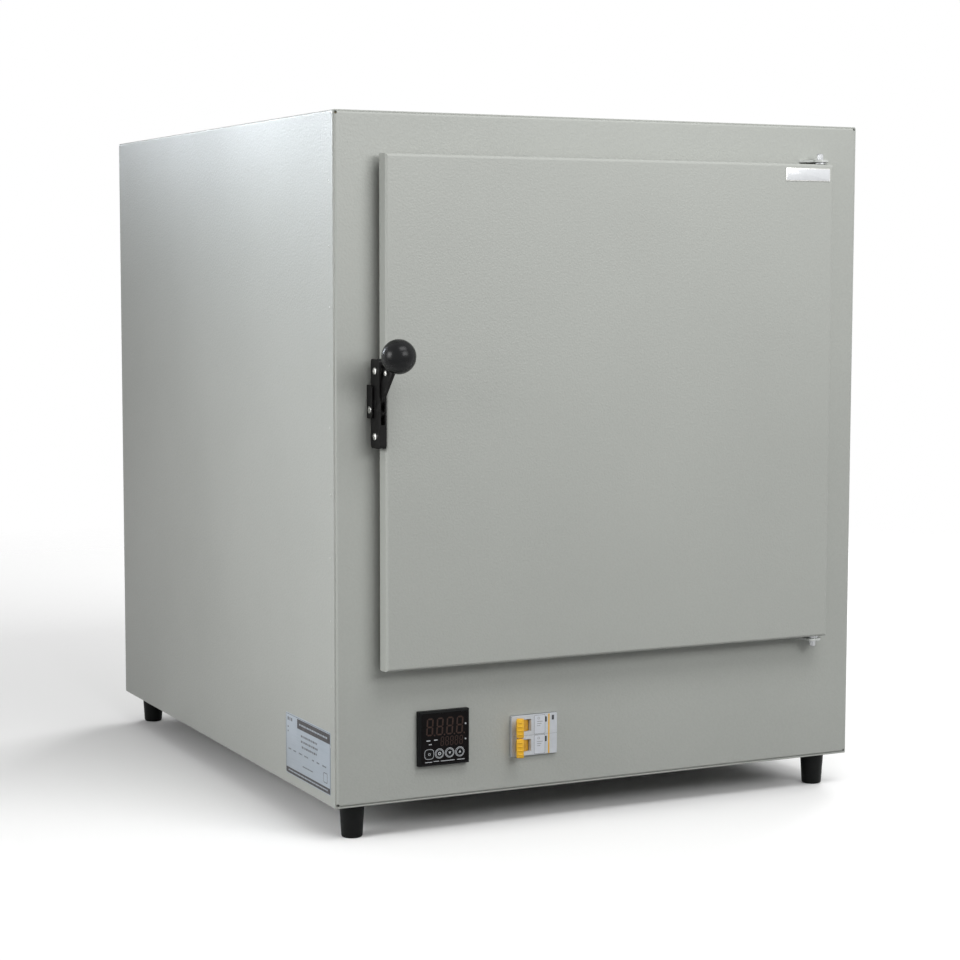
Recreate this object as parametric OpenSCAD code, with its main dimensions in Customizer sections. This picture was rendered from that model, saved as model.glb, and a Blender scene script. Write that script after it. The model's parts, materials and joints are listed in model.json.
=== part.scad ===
// Bench drying cabinet, in millimetres.
// Modelled with x across the front, y from the front panel into the body and z up from the body's base.
// in_place() then moves the origin to the floor, under the middle of the whole object.

/* [Body] */
// Outer width of the body
body_w = 525; // [505:5:600]
// Outer depth of the body
body_d = 600; // [590:5:680]
// Height of the body above its feet
body_h = 590; // [580:5:660]
// Thickness of the painted steel sheet
sheet = 1.2; // [1:0.1:1.6]
// Outer bend radius of the folded sheet
bend_r = 2; // [1.8:0.1:3]
// Depth of the flanges folded back from the front and rear panels
flange_d = 18; // [14:1:24]
// Distance of the shell's edges from the front and rear faces
shell_setback = 1.6; // [1:0.1:2.5]
// Diameter of the relief hole at each folded corner
relief_d = 2.6; // [2:0.1:3.5]

/* [Feet] */
// Height of a rubber foot
foot_h = 31; // [25:1:40]
// Diameter of a foot at its top
foot_top_d = 22.5; // [22:0.5:30]
// Diameter of a foot at its sole
foot_sole_d = 18.5; // [18:0.5:21]
// Distance of a foot's axis from the sides of the body
foot_inset_x = 24; // [22:1:40]
// Distance of a foot's axis from the front and rear of the body
foot_inset_y = 22; // [21:1:40]

/* [Chamber] */
// Thickness of the mineral wool at each side
side_wool = 64; // [55:1:70]
// Thickness of the mineral wool over the chamber
top_wool = 61; // [55:1:66]
// Thickness of the mineral wool under the chamber
bottom_wool = 44; // [36:1:46]
// Thickness of the mineral wool behind the chamber
rear_wool = 65; // [55:1:75]
// Depth of the wiring space between the inner back sheet and the rear panel
wiring_d = 60.4; // [56:0.4:70]
// Thickness of the stainless sheet
liner = 1; // [0.8:0.1:1.2]
// Inner corner radius of the chamber
chamber_r = 6; // [4:1:8]
// Width of the liner's front flange
liner_lip = 14; // [10:1:18]

/* [Door] */
// Distance of the door's edges from the sides of the body
door_side_margin = 38.5; // [36:0.5:42]
// Distance of the door's top edge from the top of the body
door_top_margin = 36; // [34:1:40]
// Height of the control strip under the door
control_h = 118; // [114:1:126]
// How far the door laps over the bottom edge of the chamber
door_lap = 28; // [24:1:32]
// Depth of the door's outer skin
skin_d = 13; // [12:0.5:15]
// Gap between the skin and the front panel, filled by the gasket
door_gap = 7; // [6.5:0.1:8]
// Outer bend radius of the door skin
door_bend_r = 2.6; // [2:0.1:4]
// Width of the lips folded in at the back of the skin
skin_lip = 14; // [12:1:16]
// Depth to which the door's plug enters the chamber
plug_d = 24; // [18:1:30]
// Gap between the plug and the chamber walls
plug_gap = 6; // [4:0.5:8]
// Distance of the gasket's centre line from the chamber wall
gasket_offset = 9; // [7:0.5:10]

/* [Hinges] */
// Distance of the hinge axis from the door's right edge
hinge_edge = 10.5; // [9.5:0.5:11]
// Clearance of the door's corners from the front panel as the door turns
hinge_clear = 0.65; // [0.5:0.05:1]
// Thickness of a hinge lug
lug_t = 2; // [1.5:0.5:3]
// Gap between the door and a hinge lug
lug_gap = 2; // [1.6:0.2:3]
// Radius of the lug's nose round the bolt
lug_r = 7.5; // [7:0.5:9]
// Radius of the hinge bolt's shank
hinge_bolt_r = 3; // [2.5:0.5:4]
// Depth of the hinge bolt and its bush in the door
bush_depth = 14; // [10:1:20]

/* [Latch] */
// Height of the latch bracket
bracket_h = 75; // [68:1:90]
// Depth of the latch bracket, front to back
bracket_d = 18; // [17.5:0.5:18.5]
// Wall of the latch bracket
bracket_t = 1.5; // [1.2:0.1:1.8]
// How far the bracket stands in front of the door
bracket_proud = 1.5; // [1.5:0.1:2]
// Height of the latch lever's axis above the body's base
latch_z = 345.5; // [300:0.5:400]
// Distance between the two bracket screws
bracket_screw_pitch = 55; // [52:1:56]
// Distance of the lever's axis in front of the front panel
lever_fore = 12.5; // [12.2:0.1:13]
// Thickness of the lever plate
lever_t = 3; // [2.5:0.1:3.5]
// Side clearance of the lever in its bracket
lever_side = 0.35; // [0.25:0.05:0.5]
// Angle of the lever above the horizontal
lever_angle = 44.5; // [40:0.5:50]
// Travel of the lever, downwards
lever_travel = 60; // [54:1:62]
// Length from the lever's axis to the middle of the knob
lever_len = 58.5; // [54:0.5:64]
// Radius of the ball knob
knob_r = 14.5; // [12.5:0.5:16]
// Radius of the lever's pivot rivet
pivot_r = 2; // [1.8:0.1:2.1]
// Distance from the lever's axis to the keeper pin
catch_reach = 7.5; // [7.5:0.1:7.7]
// Radius of the keeper pin
catch_pin_r = 2; // [1.8:0.1:2]
// Height of the keeper
keeper_h = 28; // [24:1:32]

/* [Heaters] */
// Width of the space behind each heater guard
heater_space = 22; // [20:1:26]
// Radius of the tubular heater
heater_r = 4.25; // [3.5:0.25:5]
// Height of the lowest pass above the chamber floor
heater_floor = 75; // [60:5:80]
// Depth of the highest pass below the chamber ceiling
heater_ceiling = 76.6; // [60:0.6:80]
// Distance of the front bends from the front panel
heater_front = 75; // [60:5:90]

/* [Shelves] */
// Height of the lowest runner above the chamber floor
runner_z0 = 70; // [60:5:75]
// Distance between runner levels
runner_pitch = 90; // [80:5:90]
// Number of runner levels
runner_levels = 3; // [3:1:4]
// Width of a runner
runner_w = 12; // [10:1:16]
// Radius of the shelf's frame wire
shelf_frame_r = 3; // [2.5:0.5:4]
// Radius of the shelf's thin wires
shelf_wire_r = 1.5; // [1:0.25:2]
// Distance between the shelf's thin wires
shelf_wire_pitch = 17; // [14:1:25]
// Free travel of a shelf behind the closed door
shelf_travel = 15; // [10:1:20]

/* [Controls] */
// Distance of the controller's middle from the left side of the body
controller_inset = 99.5; // [90:0.5:110]
// Gap between the clamp behind the controller and the divider's front flange
clamp_gap = 4.5; // [3:0.5:8]
// Width of the controller's square bezel
controller_w = 48; // [48:1:48]
// Distance of the controller's face in front of the panel
controller_proud = 6; // [4:0.5:8]
// Depth of the controller behind the panel
controller_d = 78; // [60:1:110]
// Radius of a controller key
key_r = 3.6; // [3:0.1:4]
// Distance between the controller's keys
key_pitch = 9.75; // [9:0.25:10]
// Travel of a controller key
key_travel = 0.5; // [0.3:0.1:0.8]
// Distance of the breaker's middle from the left side of the body
breaker_inset = 188.7; // [188:0.1:210]
// Depth of the breaker's middle below the middle of the control strip
breaker_low = 11; // [3:1:15]
// Width of one breaker pole
pole_w = 18; // [17.5:0.5:18]
// Length of the breaker's nose, which the panel shows
nose_w = 45; // [44:1:46]
// Distance of the breaker's nose in front of the panel
nose_proud = 3; // [1:0.5:5]
// Swing of the toggles from one side to the other
toggle_swing = 50; // [40:2:60]

/* [Rear fittings] */
// Outer radius of the vent tube
vent_r = 16; // [12:1:20]
// Depth of the vent's centre under the chamber's ceiling
vent_drop = 38; // [30:1:60]
// Radius of the cable bore in the gland
gland_bore_r = 5; // [3:0.5:6]
// How far the gland stands out of the rear panel
gland_out = 22; // [18:1:30]
// Distance of the gland from the side of the body
gland_inset = 60; // [40:1:90]

/* [Hidden] */
$fn = 48;

paint = [0.74, 0.75, 0.72];
stainless = [0.78, 0.78, 0.77];
zinc = [0.7, 0.71, 0.72];
black = [0.06, 0.06, 0.06];
wool_yellow = [0.85, 0.78, 0.55];
touch_gap = 0.3;
cut = 1;

// Inside faces of the shell and of the panel flanges, where the wool and inner sheets seat
inner_x = body_w / 2 - sheet;
wool_x = inner_x - sheet;
panel_w = 2 * inner_x;
panel_h = body_h - 2 * sheet;
wool_top_z = body_h - 2 * sheet;

// Chamber
chamber_w = 2 * (wool_x - side_wool - liner);
chamber_z0 = control_h + door_lap;
chamber_z1 = wool_top_z - top_wool - liner;
chamber_h = chamber_z1 - chamber_z0;
chamber_zm = (chamber_z0 + chamber_z1) / 2;
chamber_y1 = body_d - 2 * sheet - wiring_d - rear_wool - liner;
divider_z1 = chamber_z0 - liner - bottom_wool;
divider_z0 = divider_z1 - sheet;
wool_y0 = sheet + liner;
wool_y1 = chamber_y1 + liner;
back_y0 = wool_y1 + rear_wool;
back_y1 = back_y0 + sheet;
back_flange = 15;

// Door
door_w = body_w - 2 * door_side_margin;
door_z1 = body_h - door_top_margin;
door_h = door_z1 - control_h;
door_x = door_w / 2;
skin_y0 = -door_gap - skin_d;
liner_lap = 7;
plug_w = chamber_w - 2 * plug_gap;
plug_h = chamber_h - 2 * plug_gap;
plug_r = 4;
gasket_r = (door_gap - liner - touch_gap) / 2;
gasket_corner_r = 12;

// Hinges
// The axis stands far enough in front of the panel for the door's two right-hand corners to turn past it
hinge_x = door_x - hinge_edge;
front_corner_x = hinge_edge - door_bend_r;
front_corner_y = door_gap + skin_d - door_bend_r;
front_corner_r = door_bend_r + hinge_clear;
fore_for_front = (pow(front_corner_x, 2) + pow(front_corner_y, 2) - pow(front_corner_r, 2))
    / (2 * (front_corner_y - front_corner_r));
fore_for_rear = (pow(hinge_edge, 2) + pow(door_gap, 2) - pow(hinge_clear, 2))
    / (2 * (door_gap - hinge_clear));
hinge_y = -max(fore_for_front, fore_for_rear);
bush_wall = 1.2;
hinge_play = 0.08;
bush_bore_r = hinge_bolt_r + hinge_play;
bush_r = bush_bore_r + bush_wall;
hex_h = 4.6;
hex_r = 5.8;
washer_r = 6.4;
washer_t = 1;
washer_wall = 2.4;

// Latch
channel_w = lever_t + 2 * lever_side;
bracket_w = channel_w + 2 * bracket_t;
bracket_x0 = -door_x - bracket_w;
bracket_y0 = skin_y0 - bracket_proud;
channel_x1 = -door_x - bracket_t;
lever_x1 = channel_x1 - lever_side;
lever_y = -lever_fore;
knob_y = lever_y - lever_len * cos(lever_angle);
catch_gap = 0.3;
catch_angle = 225;
catch_y = lever_y - catch_reach * cos(catch_angle);
catch_z = latch_z + catch_reach * sin(catch_angle);
hook_r0 = catch_reach + catch_pin_r + catch_gap;
hook_wall = 2.4;
hook_r1 = hook_r0 + hook_wall;
hub_r = 5;
arm_end = lever_len - knob_r;
arm_tip = 3;
knob_stud_r = 3;
knob_stud_l = 9;
slot_low = 17.5;
slot_margin = 4.5;
bracket_screw_r = 2;
bracket_screw_y = bracket_y0 + bracket_d / 2;
keeper_t = 1.5;
keeper_side = 0.6;
keeper_x1 = bracket_x0 - keeper_side;
keeper_x0 = keeper_x1 - keeper_t;
keeper_nose = 3.5;
keeper_drop = 6.8;
keeper_base_w = 15;

// Heaters and guards
heater_passes = 4;
heater_x = chamber_w / 2 - heater_space / 2;
heater_z0 = chamber_z0 + heater_floor;
heater_pitch = (chamber_h - heater_floor - heater_ceiling) / (heater_passes - 1);
heater_rear_space = 55;
heater_rear = chamber_y1 - heater_rear_space;
heater_tail = 26;
heater_end = back_y1 + heater_tail;
support_t = 1.5;
support_margin = 16;
insulator_l = 16;
insulator_wall = 5;
guard_x = chamber_w / 2 - heater_space;
guard_front_gap = 12;
guard_y0 = plug_d + guard_front_gap;
guard_rear_gap = 6;
guard_y1 = chamber_y1 - guard_rear_gap;
guard_edge = chamber_r + 3;
guard_slot_l = 36;
guard_slot_w = 6;
guard_slot_gap = 16;
guard_rim = 8;
rows_per_level = 3;
runner_t = 1.2;
runner_h = 10;
runner_inset = 4;
runner_face = guard_x - liner - runner_w;

// Shelves
shelf_front_gap = 6;
shelf_y0 = plug_d + shelf_front_gap + shelf_travel;
shelf_rear_gap = 8;
shelf_y1 = chamber_y1 - shelf_rear_gap;
shelf_side = 2;
shelf_x = guard_x - liner - shelf_side;
shelf_corner_r = 14;
shelf_bar_r = shelf_frame_r - 0.5;

// Controls
controller_x = controller_inset - body_w / 2;
clamp_w = controller_w + 7;
clamp_d = 8;
controller_z = divider_z1 - back_flange - clamp_gap - clamp_w / 2;
window_w = controller_w - 4;
window_recess = 1;
window_r = 2;
bezel_r = 1.5;
window_t = 0.9;
controller_back_w = 44.8;
controller_cut_w = 45.2;
controller_face = -controller_proud;
window_face = controller_face + window_recess;
key_drop = 13.4;
key_play = 0.3;
key_proud = 0.3;
key_l = 2.6;
key_face = window_face - window_t - key_proud;
breaker_x = breaker_inset - body_w / 2;
breaker_z = control_h / 2 - breaker_low;
nose_face = -nose_proud;
nose_d = 17;
breaker_l = 83;
breaker_d = 65;
pole_gap = 0.1;
drum_r = 8;
drum_play = 0.4;
drum_sink = 0.2;
pole_wall = 3.5;
pole_window = pole_w - pole_gap - 2 * pole_wall;
toggle_offset = 10.7;
toggle_x = breaker_x - toggle_offset;
toggle_y = nose_face + drum_r + drum_sink;
toggle_w = pole_window - 2 * drum_play;
toggle_root = 2.5;
toggle_lean = toggle_swing / 2;
rail_w = 35;
rail_t = 1;
rail_d = 7.5;
rail_notch = 4;
pole_chamfer = 6;
rail_y = nose_face + breaker_d - rail_notch;

// Relay and its heat sink, on the base pan
sink_x = 90;
sink_y = 120;
sink_w = 80;
sink_l = 100;
sink_h = 30;

// Rear fittings
vent_z = chamber_z1 - vent_drop;
vent_wall = 1.5;
vent_collar_t = 2;
vent_collar_r = vent_r + 6;
flap_r = vent_r + 3;
flap_t = 1.2;
flap_drop = vent_collar_r + 6.5;
flap_pivot_z = vent_z + flap_drop;
flap_screw_r = 2.5;
flap_play = 0.08;
gland_x = gland_inset - body_w / 2;
gland_z = 45;
gland_thread_r = 10;
probe_x = 70;
probe_r = 2;
probe_play = 0.2;
probe_reach = 80;
stud_spacing = 40;
stud_x = gland_x + stud_spacing;
stud_r = 3;

// Length of the whole object, which its origin halves
front_y = knob_y - knob_r;
rear_y = body_d + gland_out;
mid_y = (front_y + rear_y) / 2;

module in_place() {
    translate([0, -mid_y, foot_h]) children();
}

// A cylinder along y, from y0 to y1
module rod_y(r, y0, y1, x, z) {
    translate([x, y0, z]) rotate([-90, 0, 0]) cylinder(r = r, h = y1 - y0);
}

// A cylinder along x, from x0 to x1
module rod_x(r, x0, x1, y, z) {
    translate([x0, y, z]) rotate([0, 90, 0]) cylinder(r = r, h = x1 - x0);
}

// A box between two corners
module block(low, high) {
    translate(low) cube(high - low);
}

// A rectangle centred on the origin with round corners
module round_rect(w, h, r) {
    square([w, h - 2 * r], center = true);
    square([w - 2 * r, h], center = true);
    for (sx = [-1, 1], sy = [-1, 1])
        translate([sx * (w / 2 - r), sy * (h / 2 - r)]) circle(r);
}

// A rectangle of width w, from 0 to d in y, with its two corners at 0 rounded
module bent_outline(w, d, r) {
    translate([-w / 2, r]) square([w, d - r]);
    translate([-w / 2 + r, 0]) square([w - 2 * r, d]);
    for (s = [-1, 1]) translate([s * (w / 2 - r), r]) circle(r);
}

// A block whose face at y = 0 has four rounded edges
module bent_block(w, d, h, r) {
    intersection() {
        linear_extrude(h) bent_outline(w, d, r);
        translate([w / 2, 0, h / 2]) rotate([0, -90, 0]) linear_extrude(w) bent_outline(h, d, r);
    }
}

// A sheet pan with its face at y = 0 and its four flanges folded back
module folded_pan(w, d, h, t, r) {
    difference() {
        bent_block(w, d, h, r);
        translate([0, t, t]) bent_block(w - 2 * t, d, h - 2 * t, max(r - t, 0.3));
    }
}

// An outline in x and z, drawn along y from y0 to y1
module along_y(y0, y1) {
    translate([0, y1, 0]) rotate([90, 0, 0]) linear_extrude(y1 - y0) children();
}

// A slice of a ring between two angles
module ring_slice(r0, r1, a0, a1) {
    reach = 2 * r1;
    middle = (a0 + a1) / 2;
    intersection() {
        difference() {
            circle(r1);
            circle(r0);
        }
        polygon([[0, 0], reach * [cos(a0), sin(a0)], reach * [cos(middle), sin(middle)],
            reach * [cos(a1), sin(a1)]]);
    }
}

// A slot with round ends, along the first axis
module slot_outline(l, w) {
    square([l - w, w], center = true);
    for (s = [-1, 1]) translate([s * (l - w) / 2, 0]) circle(w / 2);
}

// Shell and panels

module shell_outline(w, h, r) {
    translate([0, h]) mirror([0, 1]) bent_outline(w, h, r);
}

module outer_shell() {
    color(paint) in_place() along_y(shell_setback, body_d - shell_setback) difference() {
        shell_outline(body_w, body_h, bend_r);
        translate([0, -cut]) shell_outline(body_w - 2 * sheet, body_h - sheet + cut, bend_r - sheet);
    }
}

module chamber_opening() {
    along_y(-cut, sheet + cut) translate([0, chamber_zm]) round_rect(chamber_w, chamber_h, chamber_r);
}

module front_panel() {
    relief_x = panel_w / 2 - relief_d / 2;
    color(paint) in_place() difference() {
        translate([0, 0, sheet]) folded_pan(panel_w, flange_d, panel_h, sheet, bend_r);
        chamber_opening();
        block([controller_x - controller_cut_w / 2, -cut, controller_z - controller_cut_w / 2],
            [controller_x + controller_cut_w / 2, sheet + cut, controller_z + controller_cut_w / 2]);
        block([breaker_x - nose_w / 2 - touch_gap, -cut, breaker_z - pole_w - touch_gap],
            [breaker_x + nose_w / 2 + touch_gap, sheet + cut, breaker_z + pole_w + touch_gap]);
        for (sx = [-1, 1], z = [sheet + relief_d / 2, sheet + panel_h - relief_d / 2])
            rod_y(relief_d / 2, -cut, bend_r + cut, sx * relief_x, z);
    }
}

module rear_louvres() {
    count = 12;
    pitch = 17;
    slot_h = 46;
    slot_w = 5;
    middle_x = 40;
    middle_z = 50;
    for (i = [0 : count - 1])
        translate([middle_x + (i - (count - 1) / 2) * pitch, middle_z]) rotate(90)
            slot_outline(slot_h, slot_w);
}

module rear_panel() {
    color(paint) in_place() difference() {
        translate([0, body_d, sheet]) mirror([0, 1, 0])
            folded_pan(panel_w, flange_d, panel_h, sheet, bend_r);
        along_y(body_d - sheet - cut, body_d + cut) rear_louvres();
        rod_y(vent_r + touch_gap, body_d - sheet - cut, body_d + cut, 0, vent_z);
        rod_y(flap_screw_r + touch_gap, body_d - sheet - cut, body_d + cut, 0, flap_pivot_z);
        rod_y(gland_thread_r + touch_gap, body_d - sheet - cut, body_d + cut, gland_x, gland_z);
        rod_y(stud_r + touch_gap, body_d - sheet - cut, body_d + cut, stud_x, gland_z);
    }
}

module base_pan() {
    end_gap = 2;
    flange_y0 = flange_d + end_gap;
    flange_y1 = body_d - flange_y0;
    flange_h = 20;
    vents = 10;
    vent_pitch = 12;
    vent_l = 44;
    vent_w = 4;
    vent_x = body_w / 4;
    color(paint) in_place() difference() {
        union() {
            block([-inner_x, 0, 0], [inner_x, body_d, sheet]);
            for (side = [0, 1]) mirror([side, 0, 0])
                block([wool_x, flange_y0, 0], [inner_x, flange_y1, flange_h]);
        }
        for (s = [-1, 1], i = [0 : vents - 1])
            translate([s * vent_x + (i - (vents - 1) / 2) * vent_pitch, body_d / 2, -cut])
                linear_extrude(sheet + 2 * cut) rotate(90) slot_outline(vent_l, vent_w);
    }
}

module foot() {
    sole_edge = 2.5;
    recess_r = 5.5;
    recess_d = 9;
    translate([0, 0, -foot_h]) rotate_extrude() difference() {
        union() {
            polygon([[0, 0], [foot_sole_d / 2 - sole_edge, 0], [foot_sole_d / 2 - sole_edge, sole_edge],
                [foot_sole_d / 2, sole_edge], [foot_top_d / 2, foot_h], [0, foot_h]]);
            translate([foot_sole_d / 2 - sole_edge, sole_edge]) intersection() {
                circle(sole_edge);
                translate([0, -sole_edge]) square(sole_edge);
            }
        }
        translate([0, -cut]) square([recess_r, recess_d + cut]);
    }
}

module feet() {
    x = body_w / 2 - foot_inset_x;
    color(black) in_place() for (sx = [-1, 1], y = [foot_inset_y, body_d - foot_inset_y])
        translate([sx * x, y, 0]) foot();
}

module divider() {
    color(zinc) in_place() {
        block([-wool_x, sheet, divider_z0], [wool_x, back_y1, divider_z1]);
        block([-wool_x, sheet, divider_z1 - back_flange], [wool_x, 2 * sheet, divider_z1]);
        block([-wool_x, back_y0, divider_z1 - back_flange], [wool_x, back_y1, divider_z1]);
    }
}

module inner_back() {
    color(zinc) in_place() difference() {
        translate([0, back_y0, divider_z1])
            folded_pan(2 * wool_x, back_flange, wool_top_z - divider_z1, sheet, bend_r);
        rear_holes(back_y0, back_y1);
    }
}

// Holes for what passes through the rear wall of the chamber
module rear_holes(y0, y1) {
    rod_y(vent_r, y0 - cut, y1 + cut, 0, vent_z);
    rod_y(probe_r + probe_play, y0 - cut, y1 + cut, probe_x, vent_z);
    for (s = [-1, 1], pass = [0, heater_passes - 1])
        rod_y(heater_r + touch_gap, y0 - cut, y1 + cut, s * heater_x, heater_z0 + pass * heater_pitch);
}

// Chamber and insulation

module chamber_liner() {
    color(stainless) in_place() difference() {
        union() {
            along_y(sheet, wool_y1) translate([0, chamber_zm])
                round_rect(chamber_w + 2 * liner, chamber_h + 2 * liner, chamber_r + liner);
            along_y(sheet, wool_y0) translate([0, chamber_zm])
                round_rect(chamber_w + 2 * liner_lip, chamber_h + 2 * liner_lip, chamber_r);
        }
        along_y(sheet - cut, chamber_y1) translate([0, chamber_zm])
            round_rect(chamber_w, chamber_h, chamber_r);
        rear_holes(chamber_y1, wool_y1);
    }
}

module wool_side() {
    color(wool_yellow) in_place()
        block([chamber_w / 2 + liner, wool_y0, divider_z1], [wool_x, wool_y1, wool_top_z]);
}

module wool_left() {
    mirror([1, 0, 0]) wool_side();
}

module wool_right() {
    wool_side();
}

module wool_top() {
    color(wool_yellow) in_place() block([-chamber_w / 2 - liner, wool_y0, chamber_z1 + liner],
        [chamber_w / 2 + liner, wool_y1, wool_top_z]);
}

module wool_bottom() {
    color(wool_yellow) in_place() block([-chamber_w / 2 - liner, wool_y0, divider_z1],
        [chamber_w / 2 + liner, wool_y1, chamber_z0 - liner]);
}

module wool_rear() {
    color(wool_yellow) in_place() difference() {
        block([-wool_x, wool_y1, divider_z1], [wool_x, back_y0, wool_top_z]);
        rear_holes(wool_y1, back_y0);
    }
}

// Heaters, guards and shelves

module heater_bend(z, front) {
    bend = heater_pitch / 2;
    translate([0, front ? heater_front + bend : heater_rear - bend, z + bend])
        mirror([0, front ? 1 : 0, 0]) rotate([0, -90, 0]) rotate_extrude(angle = 180)
            translate([bend, 0]) circle(heater_r);
}

// A tube in four passes, its two ends out through the rear wall
module heater() {
    bend = heater_pitch / 2;
    color([0.35, 0.34, 0.33]) in_place() translate([heater_x, 0, heater_z0]) {
        for (pass = [0 : heater_passes - 1]) {
            outer = pass == 0 || pass == heater_passes - 1;
            rod_y(heater_r, heater_front + bend, outer ? heater_end : heater_rear - bend,
                0, pass * heater_pitch);
        }
        heater_bend(0, true);
        heater_bend(heater_pitch, false);
        heater_bend(2 * heater_pitch, true);
    }
}

module heater_left() {
    mirror([1, 0, 0]) heater();
}

module heater_right() {
    heater();
}

module heater_support(y) {
    top = heater_z0 + (heater_passes - 1) * heater_pitch;
    difference() {
        block([guard_x, y, heater_z0 - support_margin],
            [chamber_w / 2, y + support_t, top + support_margin]);
        for (pass = [0 : heater_passes - 1])
            rod_y(heater_r + touch_gap, y - cut, y + support_t + cut,
                heater_x, heater_z0 + pass * heater_pitch);
    }
}

module heater_supports() {
    run = heater_rear - heater_front - heater_pitch;
    color(stainless) in_place() for (side = [0, 1], part = [0.15, 0.85]) mirror([side, 0, 0])
        heater_support(heater_front + heater_pitch / 2 + part * run);
}

module heater_insulators() {
    collar_r = heater_r + insulator_wall;
    color([0.93, 0.91, 0.86]) in_place() for (s = [-1, 1], pass = [0, heater_passes - 1])
        difference() {
            rod_y(collar_r, back_y1, back_y1 + insulator_l,
                s * heater_x, heater_z0 + pass * heater_pitch);
            rod_y(heater_r + probe_play, back_y1 - cut, back_y1 + insulator_l + cut,
                s * heater_x, heater_z0 + pass * heater_pitch);
        }
}

// The guard's face, in y and z, with rows of slots between the runner levels
module guard_face() {
    low = chamber_z0 + guard_edge;
    high = chamber_z1 - guard_edge;
    row_pitch = runner_pitch / rows_per_level;
    row_first = chamber_z0 + runner_z0 - rows_per_level * row_pitch / 2;
    rows = floor((high - guard_rim - row_first) / row_pitch);
    column_pitch = guard_slot_l + guard_slot_gap;
    columns = floor((guard_y1 - guard_y0 - guard_rim) / column_pitch);
    middle = (guard_y0 + guard_y1) / 2;
    difference() {
        translate([guard_y0, low]) square([guard_y1 - guard_y0, high - low]);
        for (i = [0 : columns - 1], j = [0 : rows])
            translate([middle + (i - (columns - 1) / 2) * column_pitch, row_first + j * row_pitch])
                slot_outline(guard_slot_l, guard_slot_w);
    }
}

module guard() {
    low = chamber_z0 + guard_edge;
    high = chamber_z1 - guard_edge;
    color(stainless) in_place() {
        translate([guard_x - liner, 0, 0]) rotate([90, 0, 90]) linear_extrude(liner) guard_face();
        for (z = [low, high - liner])
            block([guard_x - liner, guard_y0, z], [chamber_w / 2, guard_y1, z + liner]);
    }
}

module guard_left() {
    mirror([1, 0, 0]) guard();
}

module guard_right() {
    guard();
}

function runner_z(level) = chamber_z0 + runner_z0 + level * runner_pitch;

module shelf_runners() {
    color(stainless) in_place() for (side = [0, 1], level = [0 : runner_levels - 1])
        mirror([side, 0, 0]) {
            block([runner_face, guard_y0 + runner_inset, runner_z(level) - runner_t],
                [guard_x - liner, guard_y1, runner_z(level)]);
            block([guard_x - liner - runner_t, guard_y0 + runner_inset, runner_z(level) - runner_h],
                [guard_x - liner, guard_y1, runner_z(level)]);
        }
}

// A loop of round wire, its centre line w wide and d deep
module wire_loop(w, d, r, corner) {
    for (s = [-1, 1]) {
        translate([s * w / 2, corner - d / 2, 0]) rotate([-90, 0, 0]) cylinder(r = r, h = d - 2 * corner);
        translate([corner - w / 2, s * d / 2, 0]) rotate([0, 90, 0]) cylinder(r = r, h = w - 2 * corner);
    }
    for (turn = [0 : 3]) {
        sx = turn == 0 || turn == 3 ? 1 : -1;
        sy = turn < 2 ? 1 : -1;
        translate([sx * (w / 2 - corner), sy * (d / 2 - corner), 0]) rotate(90 * turn)
            rotate_extrude(angle = 90) translate([corner, 0]) circle(r);
    }
}

module wire_shelf(level) {
    loop_w = 2 * (shelf_x - shelf_frame_r);
    loop_d = shelf_y1 - shelf_y0 - 2 * shelf_frame_r;
    wires = floor((loop_w - 2 * shelf_corner_r) / shelf_wire_pitch);
    wire_rise = shelf_frame_r - 0.4;
    bars = [0.33, 0.67];
    color([0.82, 0.82, 0.83]) in_place()
        translate([0, (shelf_y0 + shelf_y1) / 2, runner_z(level) + touch_gap + shelf_frame_r]) {
            wire_loop(loop_w, loop_d, shelf_frame_r, shelf_corner_r);
            for (part = bars)
                rod_x(shelf_bar_r, -loop_w / 2, loop_w / 2, (part - 0.5) * loop_d, 0);
            for (i = [0 : wires])
                rod_y(shelf_wire_r, -loop_d / 2, loop_d / 2, (i - wires / 2) * shelf_wire_pitch, wire_rise);
        }
}

module shelf_lower() {
    wire_shelf(0);
}

module shelf_upper() {
    wire_shelf(2);
}

// Fittings through the rear

module thermocouple() {
    head_r = 6;
    head_l = 14;
    color([0.5, 0.5, 0.5]) in_place() {
        rod_y(probe_r, chamber_y1 - probe_reach, back_y1 + head_l, probe_x, vent_z);
        rod_y(head_r, back_y1, back_y1 + head_l, probe_x, vent_z);
    }
}

module vent_tube() {
    collar_y1 = body_d + vent_collar_t;
    color(stainless) in_place() difference() {
        union() {
            rod_y(vent_r, chamber_y1, collar_y1, 0, vent_z);
            rod_y(vent_collar_r, body_d, collar_y1, 0, vent_z);
        }
        rod_y(vent_r - vent_wall, chamber_y1 - cut, collar_y1 + cut, 0, vent_z);
    }
}

module vent_flap() {
    flap_y0 = body_d + vent_collar_t + touch_gap;
    ear_r = 7;
    tab_w = 12;
    tab_l = 14;
    tab_drop = flap_r + tab_l / 2 - 2;
    color(stainless) in_place() difference() {
        along_y(flap_y0, flap_y0 + flap_t) union() {
            translate([0, vent_z]) circle(flap_r);
            translate([0, flap_pivot_z]) circle(ear_r);
            translate([-ear_r, vent_z]) square([2 * ear_r, flap_drop]);
            translate([0, vent_z - tab_drop]) square([tab_w, tab_l], center = true);
        }
        rod_y(flap_screw_r + flap_play, body_d, flap_y0 + flap_t + cut, 0, flap_pivot_z);
    }
}

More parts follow.
